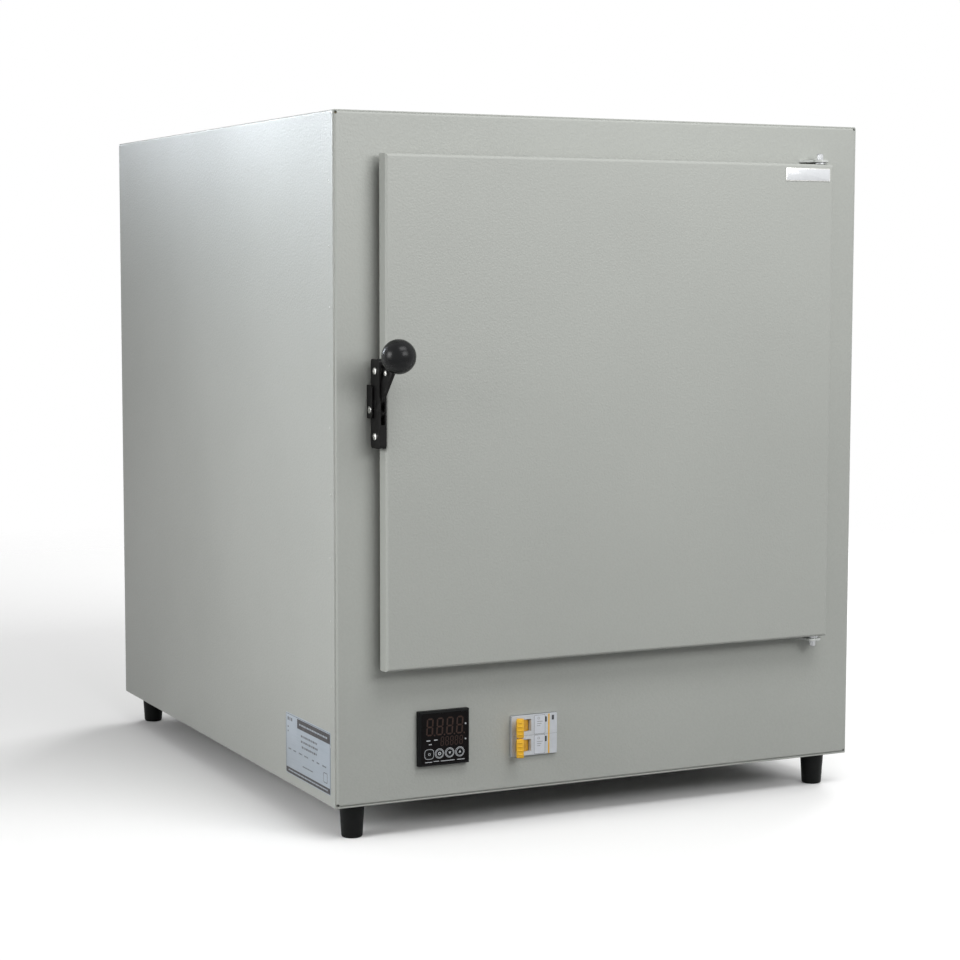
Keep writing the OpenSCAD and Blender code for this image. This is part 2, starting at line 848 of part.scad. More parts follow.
// Screw with a spacer that carries the flap clear of the panel
module vent_pivot() {
    head_y0 = body_d + vent_collar_t + 2 * touch_gap + flap_t;
    head_r = 4.6;
    head_h = 2.6;
    nut_h = 4;
    thread_end = 2;
    color(zinc) in_place() {
        rod_y(flap_screw_r, body_d - sheet - nut_h - thread_end, head_y0 + head_h,
            0, flap_pivot_z);
        rod_y(head_r, head_y0, head_y0 + head_h, 0, flap_pivot_z);
        rod_y(head_r, body_d, body_d + vent_collar_t, 0, flap_pivot_z);
        translate([0, body_d - sheet, flap_pivot_z]) rotate([90, 0, 0])
            cylinder(r = head_r, h = nut_h, $fn = 6);
    }
}

module cable_gland() {
    nut_h = 6;
    collar_h = 8;
    nut_r = 13.8;
    dome_r = 12.2;
    dome_end = 5;
    thread_end = 5;
    inner_end = body_d - sheet - nut_h - thread_end;
    color([0.14, 0.14, 0.15]) in_place() translate([gland_x, 0, gland_z]) difference() {
        union() {
            rod_y(gland_thread_r, inner_end, body_d + cut, 0, 0);
            translate([0, body_d + collar_h, 0]) rotate([90, 0, 0])
                cylinder(r = nut_r, h = collar_h, $fn = 6);
            rod_y(dome_r, body_d + collar_h, body_d + gland_out - dome_end, 0, 0);
            translate([0, body_d + gland_out, 0]) rotate([90, 0, 0])
                cylinder(r1 = dome_r - dome_end / 2, r2 = dome_r, h = dome_end);
            translate([0, body_d - sheet, 0]) rotate([90, 0, 0]) cylinder(r = nut_r, h = nut_h, $fn = 6);
        }
        rod_y(gland_bore_r, inner_end - cut, body_d + gland_out + cut, 0, 0);
    }
}

module earth_stud() {
    nut_h = 5;
    thread_out = 14;
    thread_in = 8;
    color(zinc) in_place() translate([stud_x, 0, gland_z]) {
        rod_y(stud_r, body_d - sheet - thread_in, body_d + thread_out, 0, 0);
        rod_y(washer_r, body_d, body_d + washer_t, 0, 0);
        for (y = [body_d + washer_t + nut_h, body_d - sheet])
            translate([0, y, 0]) rotate([90, 0, 0]) cylinder(r = hex_r, h = nut_h, $fn = 6);
    }
}

// Hinges

// A lug's outline seen from above: broad at the panel, round at the bolt
module lug_outline() {
    root_left = 15;
    root_right = 16;
    difference() {
        union() {
            polygon([[hinge_x - root_left, 0], [hinge_x - lug_r, hinge_y], [hinge_x + lug_r, hinge_y],
                [hinge_x + root_right, 0]]);
            translate([hinge_x, hinge_y]) circle(lug_r);
        }
        translate([hinge_x, hinge_y]) circle(bush_bore_r);
    }
}

module hinge_lugs() {
    color(paint) in_place() for (z = [door_z1 + lug_gap, control_h - lug_gap - lug_t])
        translate([0, 0, z]) linear_extrude(lug_t) lug_outline();
}

// A bolt that hangs down from the plane of its lug, with its thrust washer under the lug
module hinge_bolt() {
    shank = lug_t + lug_gap + bush_depth - washer_t;
    cylinder(r = washer_r, h = washer_t);
    translate([0, 0, washer_t]) cylinder(r = hex_r, h = hex_h, $fn = 6);
    translate([0, 0, -shank]) cylinder(r = hinge_bolt_r, h = shank + washer_t);
}

module thrust_washer() {
    difference() {
        cylinder(r = hinge_bolt_r + washer_wall, h = lug_gap - touch_gap);
        translate([0, 0, -cut]) cylinder(r = bush_bore_r, h = lug_gap + 2 * cut);
    }
}

module hinge_bolts() {
    color(zinc) in_place() translate([hinge_x, hinge_y, 0]) {
        translate([0, 0, door_z1 + lug_gap + lug_t]) hinge_bolt();
        translate([0, 0, control_h - lug_gap - lug_t]) mirror([0, 0, 1]) hinge_bolt();
        translate([0, 0, door_z1 + touch_gap]) thrust_washer();
        translate([0, 0, control_h - lug_gap]) thrust_washer();
    }
}

module hinge_bush() {
    difference() {
        cylinder(r = bush_r, h = bush_depth);
        translate([0, 0, -cut]) cylinder(r = bush_bore_r, h = bush_depth + 2 * cut);
    }
}

module hinge_bushes() {
    color("goldenrod") in_place() translate([hinge_x, hinge_y, 0]) {
        translate([0, 0, door_z1 - bush_depth]) hinge_bush();
        translate([0, 0, control_h]) hinge_bush();
    }
}

// Door

module door_skin() {
    lip_edge = sheet / 2 + skin_lip;
    color(paint) in_place() difference() {
        union() {
            translate([0, skin_y0, control_h]) folded_pan(door_w, skin_d, door_h, sheet, door_bend_r);
            difference() {
                block([sheet / 2 - door_x, -door_gap - sheet, control_h + sheet / 2],
                    [door_x - sheet / 2, -door_gap, door_z1 - sheet / 2]);
                block([lip_edge - door_x, -door_gap - sheet - cut, control_h + lip_edge],
                    [door_x - lip_edge, -door_gap + cut, door_z1 - lip_edge]);
            }
        }
        translate([hinge_x, hinge_y, 0]) {
            translate([0, 0, door_z1 - bush_depth]) cylinder(r = bush_r, h = bush_depth + cut);
            translate([0, 0, control_h - cut]) cylinder(r = bush_r, h = bush_depth + cut);
        }
        bracket_screw_holes(-door_x - cut, sheet - door_x + cut);
    }
}

// Stainless inner face of the door, with the plug that enters the chamber
module door_liner() {
    face_w = door_w - 2 * (sheet + liner_lap);
    face_h = door_h - 2 * (sheet + liner_lap);
    face_zm = (control_h + door_z1) / 2;
    face_y = liner - door_gap;
    color(stainless) in_place() difference() {
        union() {
            along_y(-door_gap, face_y) translate([0, face_zm]) round_rect(face_w, face_h, 3);
            translate([0, plug_d, chamber_zm - plug_h / 2]) mirror([0, 1, 0])
                bent_block(plug_w, plug_d - face_y + liner / 2, plug_h, plug_r);
        }
        translate([0, plug_d - liner, chamber_zm - plug_h / 2 + liner]) mirror([0, 1, 0])
            bent_block(plug_w - 2 * liner, plug_d + door_gap, plug_h - 2 * liner, plug_r - liner);
    }
}

// Fills the skin and the plug
module door_wool() {
    edge = hinge_edge + bush_r + 1;
    color(wool_yellow) in_place() {
        block([edge - door_x, skin_y0 + sheet, control_h + edge],
            [door_x - edge, -door_gap, door_z1 - edge]);
        translate([0, plug_d - liner, chamber_zm - plug_h / 2 + liner]) mirror([0, 1, 0])
            bent_block(plug_w - 2 * liner, plug_d + door_gap, plug_h - 2 * liner, plug_r - liner);
    }
}

module door_gasket() {
    loop_w = chamber_w + 2 * gasket_offset;
    loop_h = chamber_h + 2 * gasket_offset;
    color([0.55, 0.25, 0.2]) in_place()
        translate([0, -touch_gap - gasket_r, chamber_zm]) rotate([90, 0, 0])
            wire_loop(loop_w, loop_h, gasket_r, gasket_corner_r);
}

// Latch

module bracket_screw_holes(x0, x1) {
    for (s = [-1, 1])
        rod_x(bracket_screw_r, x0, x1, bracket_screw_y, latch_z + s * bracket_screw_pitch / 2);
}

// Slotted U channel on the door's edge; its rear is open, and the keeper pin enters a notch in its flange
module latch_bracket() {
    notch = catch_pin_r + 1;
    slot_top = latch_z + bracket_h / 2 - slot_margin;
    color(black) in_place() difference() {
        translate([-door_x, bracket_y0 + bracket_d / 2, latch_z]) rotate([90, 0, -90])
            linear_extrude(bracket_w) round_rect(bracket_d, bracket_h, 3);
        block([channel_x1 - channel_w, bracket_y0 + bracket_t, latch_z - bracket_h],
            [channel_x1, bracket_y0 + bracket_d + cut, latch_z + bracket_h]);
        block([channel_x1 - channel_w, bracket_y0 - cut, latch_z - slot_low],
            [channel_x1, bracket_y0 + bracket_t + cut, slot_top]);
        block([bracket_x0 - cut, catch_y - notch, catch_z - notch],
            [channel_x1 - channel_w / 2, cut, catch_z + notch]);
        rod_x(pivot_r, bracket_x0 - cut, cut - door_x, lever_y, latch_z);
        bracket_screw_holes(bracket_x0 - cut, cut - door_x);
    }
}

module bracket_screws() {
    head_r = 3.4;
    head_h = 1.8;
    screw_l = 10;
    color([0.8, 0.8, 0.8]) in_place() for (s = [-1, 1]) {
        z = latch_z + s * bracket_screw_pitch / 2;
        rod_x(bracket_screw_r, bracket_x0, screw_l - door_x, bracket_screw_y, z);
        rod_x(head_r, bracket_x0 - head_h, bracket_x0, bracket_screw_y, z);
    }
}

module lever_rivet() {
    head_r = 3.2;
    head_h = 0.4;
    color(black) in_place() {
        rod_x(pivot_r, bracket_x0 - head_h, -door_x, lever_y, latch_z);
        rod_x(head_r, bracket_x0 - head_h, bracket_x0, lever_y, latch_z);
    }
}

// Outline of the lever, with its axis at the origin, forward to the right and up
module lever_outline() {
    hook_past_pin = 13;
    hook_span = 50;
    web_span = 19;
    hook_lead = catch_angle - hook_past_pin + lever_travel;
    hook_tail = hook_lead + hook_span;
    lobe_r = 4;
    lobe_at = 34.5;
    lobe_rise = 4.4;
    difference() {
        union() {
            circle(hub_r);
            rotate(lever_angle) {
                polygon([[0, -hub_r], [arm_end, -arm_tip], [arm_end, arm_tip],
                    [lobe_at + lobe_r, lobe_rise], [lobe_at, lobe_rise + lobe_r], [0, hub_r]]);
                translate([lobe_at, lobe_rise]) circle(lobe_r);
            }
            ring_slice(hook_r0, hook_r1, hook_lead, hook_tail);
            ring_slice(hub_r - 1, hook_r1, hook_tail - web_span, hook_tail);
        }
        circle(pivot_r + hinge_play);
    }
}

// Moves its children onto the lever's arm, whose length then runs up z
module on_arm() {
    translate([lever_x1 - lever_t / 2, lever_y, latch_z]) rotate([90 - lever_angle, 0, 0]) children();
}

module latch_lever() {
    color(black) in_place() {
        translate([lever_x1, lever_y, latch_z]) rotate([90, 0, -90]) linear_extrude(lever_t)
            lever_outline();
        on_arm() translate([0, 0, arm_end - arm_tip])
            cylinder(r = knob_stud_r, h = arm_tip + knob_stud_l);
    }
}

module ball_knob() {
    flat = 0.8;
    stud_room = 1;
    color(black) in_place() on_arm() translate([0, 0, lever_len]) difference() {
        sphere(knob_r);
        translate([0, 0, -knob_r - cut]) cylinder(r = knob_r, h = flat + cut);
        translate([0, 0, -knob_r - cut]) cylinder(r = knob_stud_r, h = cut + knob_stud_l + stud_room);
    }
}

// Angle on the front panel beside the bracket, whose pin the lever's hook goes behind
module keeper() {
    depth = keeper_nose - catch_y;
    z0 = catch_z + keeper_drop - keeper_h / 2;
    color(black) in_place() difference() {
        union() {
            translate([keeper_x1, -depth, z0 + keeper_h / 2]) rotate([0, -90, 0]) linear_extrude(keeper_t)
                bent_outline(keeper_h, depth, 3);
            block([keeper_x0, -keeper_t, z0], [keeper_x0 + keeper_base_w, 0, z0 + keeper_h]);
        }
        rod_x(catch_pin_r, keeper_x0 - cut, keeper_x1 + cut, catch_y, catch_z);
    }
}

module keeper_pin() {
    head_r = 3;
    head_h = 1;
    tip_gap = 0.5;
    color([0.75, 0.75, 0.75]) in_place() {
        rod_x(catch_pin_r, keeper_x0 - head_h, channel_x1 - tip_gap, catch_y, catch_z);
        rod_x(head_r, keeper_x0 - head_h, keeper_x0, catch_y, catch_z);
    }
}

// Controls

module controller_case() {
    back = controller_back_w / 2;
    color(black) in_place() translate([controller_x, 0, controller_z]) difference() {
        union() {
            translate([0, controller_face, -controller_w / 2])
                bent_block(controller_w, controller_proud, controller_w, bezel_r);
            block([-back, 0, -back], [back, controller_d, back]);
        }
        along_y(controller_face - cut, window_face) round_rect(window_w, window_w, window_r);
        for (i = [0 : 3])
            rod_y(key_r + key_play, window_face - cut, window_face + key_l + key_travel + touch_gap,
                (i - 1.5) * key_pitch, -key_drop);
    }
}

module controller_window() {
    color([0.09, 0.07, 0.07]) in_place() translate([controller_x, 0, controller_z]) difference() {
        along_y(window_face - window_t, window_face)
            round_rect(window_w - touch_gap, window_w - touch_gap, window_r);
        for (i = [0 : 3])
            rod_y(key_r + key_play, window_face - window_t - cut, window_face + cut,
                (i - 1.5) * key_pitch, -key_drop);
    }
}

module controller_clamp() {
    color([0.16, 0.16, 0.16]) in_place() translate([controller_x, 0, controller_z]) difference() {
        along_y(sheet, sheet + clamp_d) round_rect(clamp_w, clamp_w, window_r);
        along_y(sheet - cut, sheet + clamp_d + cut) square(controller_cut_w, center = true);
    }
}

module key(i) {
    color([0.12, 0.12, 0.12]) in_place()
        rod_y(key_r, key_face, window_face + key_l, controller_x + (i - 1.5) * key_pitch,
            controller_z - key_drop);
}

module key_1() {
    key(0);
}

module key_2() {
    key(1);
}

module key_3() {
    key(2);
}

module key_4() {
    key(3);
}

// Side outline of a breaker pole, in x and y, with the nose's face at y = 0
module pole_outline() {
    shoulder = breaker_l / 2;
    rear = breaker_d;
    foot_y = rear - rail_notch;
    notch = rail_w / 2 + touch_gap;
    claw = notch + pole_chamfer;
    heel = shoulder - pole_chamfer;
    slope = foot_y - 2 * pole_chamfer;
    half = [[0, 0], [nose_w / 2, 0], [nose_w / 2, nose_d], [shoulder, nose_d], [shoulder, slope],
        [heel, foot_y], [claw, foot_y], [claw, rear], [notch, rear], [notch, foot_y], [0, foot_y]];
    for (side = [0, 1]) mirror([side, 0]) polygon(half);
}

module pole() {
    throat = 3;
    side = (toggle_root + 2 * drum_play) / cos(toggle_lean);
    mouth_x = (drum_r + cut) * tan(toggle_lean) + side;
    throat_x = throat * tan(toggle_lean) + side;
    difference() {
        translate([breaker_x, nose_face, 0]) linear_extrude(pole_w - pole_gap) pole_outline();
        translate([toggle_x, toggle_y, pole_wall]) {
            cylinder(r = drum_r + drum_play, h = pole_window);
            linear_extrude(pole_window) polygon([[-mouth_x, -drum_r - cut], [mouth_x, -drum_r - cut],
                [throat_x, -throat], [-throat_x, -throat]]);
        }
    }
}

module breaker_case() {
    color([0.87, 0.88, 0.9]) in_place() for (i = [0, 1])
        translate([0, 0, breaker_z + (i - 1) * pole_w + pole_gap / 2]) pole();
}

// Two toggles on one axis, joined by a bar at their tips
module breaker_toggles() {
    tip = 18;
    bar_w = 6.6;
    bar_t = 5;
    bar_l = 2 * (pole_w - touch_gap);
    neck = 2;
    color([0.93, 0.7, 0.12]) in_place() translate([toggle_x, toggle_y, breaker_z])
        rotate(-toggle_lean) {
            for (s = [-1, 1]) translate([0, 0, s * pole_w / 2 - toggle_w / 2]) {
                cylinder(r = drum_r, h = toggle_w);
                linear_extrude(toggle_w) polygon([[-toggle_root, 0], [-neck, -tip],
                    [neck, -tip], [toggle_root, 0]]);
            }
            translate([0, -tip, -bar_l / 2]) linear_extrude(bar_l) round_rect(bar_w, bar_t, 1);
        }
}

// Hat rail and the angle that carries it from the base pan
module breaker_rail() {
    rail_h = 56;
    rail_z0 = breaker_z - rail_h / 2;
    web = 12.5;
    angle_t = 1.5;
    angle_x = 20;
    angle_foot = 25;
    rear = rail_y + rail_d;
    color(zinc) in_place() translate([breaker_x, 0, 0]) {
        translate([0, 0, rail_z0]) linear_extrude(rail_h) {
            for (side = [0, 1]) mirror([side, 0]) {
                translate([web - rail_t, rail_y]) square([rail_w / 2 - web + rail_t, rail_t]);
                translate([web - rail_t, rail_y]) square([rail_t, rail_d]);
            }
            translate([-web, rear - rail_t]) square([2 * web, rail_t]);
        }
        block([-angle_x, rear, sheet], [angle_x, rear + angle_t, rail_z0 + rail_h]);
        block([-angle_x, rear, sheet], [angle_x, rear + angle_foot, sheet + angle_t]);
    }
}

module terminal_block() {
    ways = 5;
    way_w = 10;
    block_d = 22;
    block_h = 20;
    ledge_d = 5;
    ledge_h = 12;
    screw_r = 3;
    screw_depth = 6;
    wire_r = 2;
    wire_z = 6;
    rear_gap = 90;
    color([0.9, 0.9, 0.86]) in_place() translate([gland_x - ways * way_w / 2, body_d - rear_gap, sheet])
        difference() {
            union() {
                cube([ways * way_w, block_d, ledge_h]);
                translate([0, ledge_d, 0]) cube([ways * way_w, block_d - 2 * ledge_d, block_h]);
            }
            for (i = [0 : ways - 1]) translate([(i + 0.5) * way_w, 0, 0]) {
                translate([0, block_d / 2, block_h - screw_depth])
                    cylinder(r = screw_r, h = screw_depth + cut);
                rod_y(wire_r, -cut, block_d + cut, 0, wire_z);
            }
        }
}

// Finned extrusion that stands on the base pan
module heat_sink() {
    fins = 9;
    fin_t = 2;
    plate_t = 5;
    pitch = (sink_w - fin_t) / (fins - 1);
    color([0.75, 0.76, 0.77]) in_place() translate([sink_x, 0, sheet])
        along_y(sink_y, sink_y + sink_l) {
            translate([0, sink_h - plate_t]) square([sink_w, plate_t]);
            for (i = [0 : fins - 1]) translate([i * pitch, 0]) square([fin_t, sink_h]);
        }
}

module relay() {
    relay_w = 45;
    relay_l = 58;
    relay_h = 23;
    well_x = 13;
    well_y = 22;
    well_r = 4.5;
    well_d = 5;
    color([0.9, 0.9, 0.88]) in_place()
        translate([sink_x + sink_w / 2, sink_y + sink_l / 2, sheet + sink_h]) difference() {
            translate([-relay_w / 2, -relay_l / 2, 0]) cube([relay_w, relay_l, relay_h]);
            for (sx = [-1, 1], sy = [-1, 1])
                translate([sx * well_x, sy * well_y, relay_h - well_d])
                    cylinder(r = well_r, h = well_d + cut);
        }
}

outer_shell();
front_panel();
rear_panel();
base_pan();
feet();
chamber_liner();
divider();
inner_back();
wool_left();
wool_right();
wool_top();
wool_bottom();
wool_rear();
heater_left();
heater_right();
heater_supports();
heater_insulators();
guard_left();
guard_right();
shelf_runners();
shelf_lower();
shelf_upper();
thermocouple();
vent_tube();
vent_pivot();
vent_flap();
hinge_lugs();
hinge_bolts();
hinge_bushes();
door_skin();
door_liner();
door_wool();
door_gasket();
latch_bracket();
bracket_screws();
lever_rivet();
latch_lever();
ball_knob();
keeper();
keeper_pin();
controller_case();
controller_window();
controller_clamp();
key_1();
key_2();
key_3();
key_4();
breaker_case();
breaker_toggles();
breaker_rail();
terminal_block();
relay();
heat_sink();
cable_gland();
earth_stud();
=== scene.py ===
import bpy
import bmesh
import json
import math
from mathutils import Matrix, Vector


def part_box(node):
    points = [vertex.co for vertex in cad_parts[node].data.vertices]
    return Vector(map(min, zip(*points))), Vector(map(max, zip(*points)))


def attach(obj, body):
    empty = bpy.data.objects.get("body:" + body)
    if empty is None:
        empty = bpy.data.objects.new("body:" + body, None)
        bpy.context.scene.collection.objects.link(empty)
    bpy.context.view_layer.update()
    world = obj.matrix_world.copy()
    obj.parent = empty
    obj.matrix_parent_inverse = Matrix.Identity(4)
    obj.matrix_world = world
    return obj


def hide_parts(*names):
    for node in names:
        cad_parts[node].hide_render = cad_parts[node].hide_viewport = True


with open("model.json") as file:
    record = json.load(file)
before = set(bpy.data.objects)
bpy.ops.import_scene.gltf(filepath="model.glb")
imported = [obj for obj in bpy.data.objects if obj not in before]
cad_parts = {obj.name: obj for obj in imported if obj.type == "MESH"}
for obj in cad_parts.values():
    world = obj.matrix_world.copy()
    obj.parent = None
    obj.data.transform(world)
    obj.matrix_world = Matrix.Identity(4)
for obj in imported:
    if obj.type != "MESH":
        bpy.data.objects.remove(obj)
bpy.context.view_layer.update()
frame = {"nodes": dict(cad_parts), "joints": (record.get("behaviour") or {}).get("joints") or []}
nodes = frame["nodes"]
MM = 0.001


# Camera, where the photographer stood: to the left of the front and a little above the middle

CAMERA_PLACE = (-0.97812, -2.01739, 0.49012)
CAMERA_TURN = (26.071, 5.39, 0.112)  # yaw, pitch and roll, in degrees
LENS = 84.25
SENSOR_WIDTH = 36


def aim_camera():
    yaw, pitch, roll = (math.radians(angle) for angle in CAMERA_TURN)
    look = Vector((math.sin(yaw) * math.cos(pitch), math.cos(yaw) * math.cos(pitch), -math.sin(pitch)))
    right = Vector((math.cos(yaw), -math.sin(yaw), 0))
    up = right.cross(look)
    across = right * math.cos(roll) + up * math.sin(roll)
    above = up * math.cos(roll) - right * math.sin(roll)
    data = bpy.data.cameras.new("camera")
    data.lens = LENS
    data.sensor_width = SENSOR_WIDTH
    camera = bpy.data.objects.new("camera", data)
    bpy.context.scene.collection.objects.link(camera)
    turn = Matrix((across, above, -look)).transposed()
    camera.matrix_world = Matrix.Translation(CAMERA_PLACE) @ turn.to_4x4()
    bpy.context.scene.camera = camera


# Shader groups

EDGE_SAMPLES = 4
MIX_COLOURS = (6, 7)  # where a Mix node takes its two colours
MIX_RESULT = 2


def shader_group(name, sizes, outputs=("Height", "Tone")):
    """An empty group that takes a Vector and named sizes: its tree, what it is given, what it puts out."""
    tree = bpy.data.node_groups.new(name, "ShaderNodeTree")
    tree.interface.new_socket(name="Vector", in_out="INPUT", socket_type="NodeSocketVector")
    for label, value in sizes.items():
        socket = tree.interface.new_socket(name=label, in_out="INPUT", socket_type="NodeSocketFloat")
        socket.default_value = value
    for label in outputs:
        tree.interface.new_socket(name=label, in_out="OUTPUT", socket_type="NodeSocketFloat")
    given = tree.nodes.new("NodeGroupInput").outputs
    result = tree.nodes.new("NodeGroupOutput").inputs
    return tree, given, result


def put_out(tree, result, **values):
    """Links a group's named results, and gives back its tree."""
    for label, value in values.items():
        tree.links.new(value, result[label])
    return tree


def feed(tree, value, socket):
    """Gives a socket a number, or links it to another socket."""
    if isinstance(value, (int, float)):
        socket.default_value = value
    else:
        tree.links.new(value, socket)


def noise(tree, vector, scale, detail, rough=0.5, twist=0):
    """A noise texture's strength."""
    node = tree.nodes.new("ShaderNodeTexNoise")
    for label, value in (("Vector", vector), ("Scale", scale), ("Detail", detail),
                         ("Roughness", rough), ("Distortion", twist)):
        feed(tree, value, node.inputs[label])
    return node.outputs[0]


def math_step(tree, operation, first, second):
    """One step of arithmetic between sockets or numbers."""
    node = tree.nodes.new("ShaderNodeMath")
    node.operation = operation
    feed(tree, first, node.inputs[0])
    feed(tree, second, node.inputs[1])
    return node.outputs[0]


def ranged(tree, value, low, high, to_low=0, to_high=1):
    """A value moved from one range to another, and held there."""
    node = tree.nodes.new("ShaderNodeMapRange")
    for label, number in (("Value", value), ("From Min", low), ("From Max", high),
                          ("To Min", to_low), ("To Max", to_high)):
        feed(tree, number, node.inputs[label])
    return node.outputs[0]


def shared(tree, first, share, second):
    """Two values added up, the first by its share and the second by the rest."""
    return math_step(tree, "ADD", math_step(tree, "MULTIPLY", first, share),
                     math_step(tree, "MULTIPLY", second, 1 - share))


def colour_mix(tree, share, first, second):
    """A colour between two, of which each is a plain colour or a socket."""
    node = tree.nodes.new("ShaderNodeMix")
    node.data_type = "RGBA"
    tree.links.new(share, node.inputs[0])
    for place, value in zip(MIX_COLOURS, (first, second)):
        if isinstance(value, tuple):
            node.inputs[place].default_value = (*value, 1)
        else:
            tree.links.new(value, node.inputs[place])
    return node.outputs[MIX_RESULT]


def stretched(tree, vector, sizes):
    """Coordinates pressed together along some axes."""
    node = tree.nodes.new("ShaderNodeMapping")
    node.inputs["Scale"].default_value = sizes
    tree.links.new(vector, node.inputs["Vector"])
    return node.outputs[0]


def rounded_normal(tree, radius):
    """The surface's direction, as if its sharp edges had this radius."""
    node = tree.nodes.new("ShaderNodeBevel")
    node.samples = EDGE_SAMPLES
    feed(tree, radius, node.inputs["Radius"])
    return node.outputs[0]


def group_results(tree, group, where, sizes):
    """Sets a group into a finish with its sizes, and gives what it puts out."""
    node = tree.nodes.new("ShaderNodeGroup")
    node.node_tree = group
    tree.links.new(where, node.inputs["Vector"])
    for label, value in sizes.items():
        node.inputs[label].default_value = value
    return node.outputs


def powder_coat_group():
    """Baked powder paint: the dimpled skin of an orange with finer pin pores, and faint clouds."""
    tree, given, result = shader_group("powder_coat", {"Peel": 430, "Pores": 1300, "Clouds": 5})
    peel = noise(tree, given["Vector"], given["Peel"], 1)
    pores = noise(tree, given["Vector"], given["Pores"], 1)
    clouds = noise(tree, given["Vector"], given["Clouds"], 3)
    height = math_step(tree, "ADD", peel, math_step(tree, "MULTIPLY", pores, 0.3))
    tone = shared(tree, ranged(tree, clouds, 0.3, 0.7), 0.65, ranged(tree, peel, 0.35, 0.65))
    return put_out(tree, result, Height=height, Tone=tone)


def drawn_grain_group():
    """The fine parallel lines that rolling or brushing leaves in metal."""
    tree, given, result = shader_group("drawn_grain", {"Lines": 900, "Clouds": 14})
    along = stretched(tree, given["Vector"], (1, 0.02, 1))
    lines = noise(tree, along, given["Lines"], 3, 0.6)
    clouds = noise(tree, given["Vector"], given["Clouds"], 3)
    tone = shared(tree, ranged(tree, lines, 0.3, 0.7), 0.55, ranged(tree, clouds, 0.3, 0.7))
    return put_out(tree, result, Height=lines, Tone=tone)


def spangle_group():
    """Zinc crystals on galvanised sheet, with their dull scatter."""
    tree, given, result = shader_group("spangle", {"Crystals": 90})
    cells = tree.nodes.new("ShaderNodeTexVoronoi")
    tree.links.new(given["Vector"], cells.inputs["Vector"])
    tree.links.new(given["Crystals"], cells.inputs["Scale"])
    split = tree.nodes.new("ShaderNodeSeparateColor")
    tree.links.new(cells.outputs["Color"], split.inputs["Color"])
    scatter = noise(tree, given["Vector"], 700, 3)
    tone = shared(tree, split.outputs[0], 0.6, scatter)
    return put_out(tree, result, Height=scatter, Tone=tone)


def moulded_grain_group():
    """The spark-eroded grain of a moulded or rubber surface, with handling marks."""
    tree, given, result = shader_group("moulded_grain", {"Grain": 2200, "Marks": 60})
    grain = noise(tree, given["Vector"], given["Grain"], 2, 0.6)
    marks = noise(tree, given["Vector"], given["Marks"], 4, 0.55, 0.6)
    return put_out(tree, result, Height=grain, Tone=ranged(tree, marks, 0.3, 0.72))


def matted_fibre_group():
    """Mineral fibres laid across each other in a felted board."""
    tree, given, result = shader_group("matted_fibre", {"Fibres": 260})
    layers = [noise(tree, stretched(tree, given["Vector"], lay), given["Fibres"], 4, 0.65, 1.2)
              for lay in ((1, 0.12, 1), (0.12, 1, 0.5))]
    height = math_step(tree, "MAXIMUM", *layers)
    return put_out(tree, result, Height=height, Tone=ranged(tree, height, 0.4, 0.75))


def worn_edge_group():
    """A mask along the outer edges, broken up where the finish has rubbed thin."""
    tree, given, result = shader_group("worn_edge", {"Width": 0.0006, "Breaks": 240}, ["Mask"])
    surface = tree.nodes.new("ShaderNodeNewGeometry")
    turn = tree.nodes.new("ShaderNodeVectorMath")
    turn.operation = "DOT_PRODUCT"
    tree.links.new(rounded_normal(tree, given["Width"]), turn.inputs[0])
    tree.links.new(surface.outputs["Normal"], turn.inputs[1])
    edge = ranged(tree, turn.outputs["Value"], 0.99, 0.86)
    breaks = ranged(tree, noise(tree, given["Vector"], given["Breaks"], 4), 0.42, 0.6)
    return put_out(tree, result, Mask=math_step(tree, "MULTIPLY", edge, breaks))


POWDER = powder_coat_group()
DRAWN = drawn_grain_group()
SPANGLE = spangle_group()
MOULDED = moulded_grain_group()
FIBRE = matted_fibre_group()
WORN = worn_edge_group()


# Finishes

def finish_of(name, colour, shade, rough, grain, sizes, depth,
              metal=0, edge=0.0004, coat=0, worn=None, sheen=0, relief=0.35, gleam=0.5):
    """A finish whose colour and roughness follow its grain, between two tones and two values.

    depth is the grain's height in metres, edge the radius at which sharp edges catch light as if
    rounded, and worn the colour and the width of rubbed edges.
    """
    made = bpy.data.materials.new(name)
    made.use_nodes = True
    tree = made.node_tree
    shader = tree.nodes["Principled BSDF"]
    for label, value in (("Metallic", metal), ("Coat Weight", coat), ("Coat Roughness", 0.1),
                         ("Sheen Weight", sheen), ("Specular IOR Level", gleam)):
        shader.inputs[label].default_value = value
    where = tree.nodes.new("ShaderNodeTexCoord").outputs["Object"]
    surface = group_results(tree, grain, where, sizes)
    tone = surface["Tone"]
    shown = colour_mix(tree, tone, shade, colour)
    if worn:
        bare, width = worn
        rubbed = group_results(tree, WORN, where, {"Width": width})
        shown = colour_mix(tree, rubbed["Mask"], shown, bare)
    tree.links.new(shown, shader.inputs["Base Color"])
    tree.links.new(ranged(tree, tone, 0, 1, rough[1], rough[0]), shader.inputs["Roughness"])
    bump = tree.nodes.new("ShaderNodeBump")
    bump.inputs["Strength"].default_value = relief
    bump.inputs["Distance"].default_value = depth
    tree.links.new(surface["Height"], bump.inputs["Height"])
    if edge:
        tree.links.new(rounded_normal(tree, edge), bump.inputs["Normal"])
    tree.links.new(bump.outputs[0], shader.inputs["Normal"])
    return made


def powder(name, colour, shade, rough, peel, pores, clouds, depth, **more):
    sizes = {"Peel": peel, "Pores": pores, "Clouds": clouds}
    return finish_of(name, colour, shade, rough, POWDER, sizes, depth, **more)


def drawn_metal(name, colour, shade, rough, lines, clouds, depth, metal=1):
    sizes = {"Lines": lines, "Clouds": clouds}
    return finish_of(name, colour, shade, rough, DRAWN, sizes, depth, metal=metal)


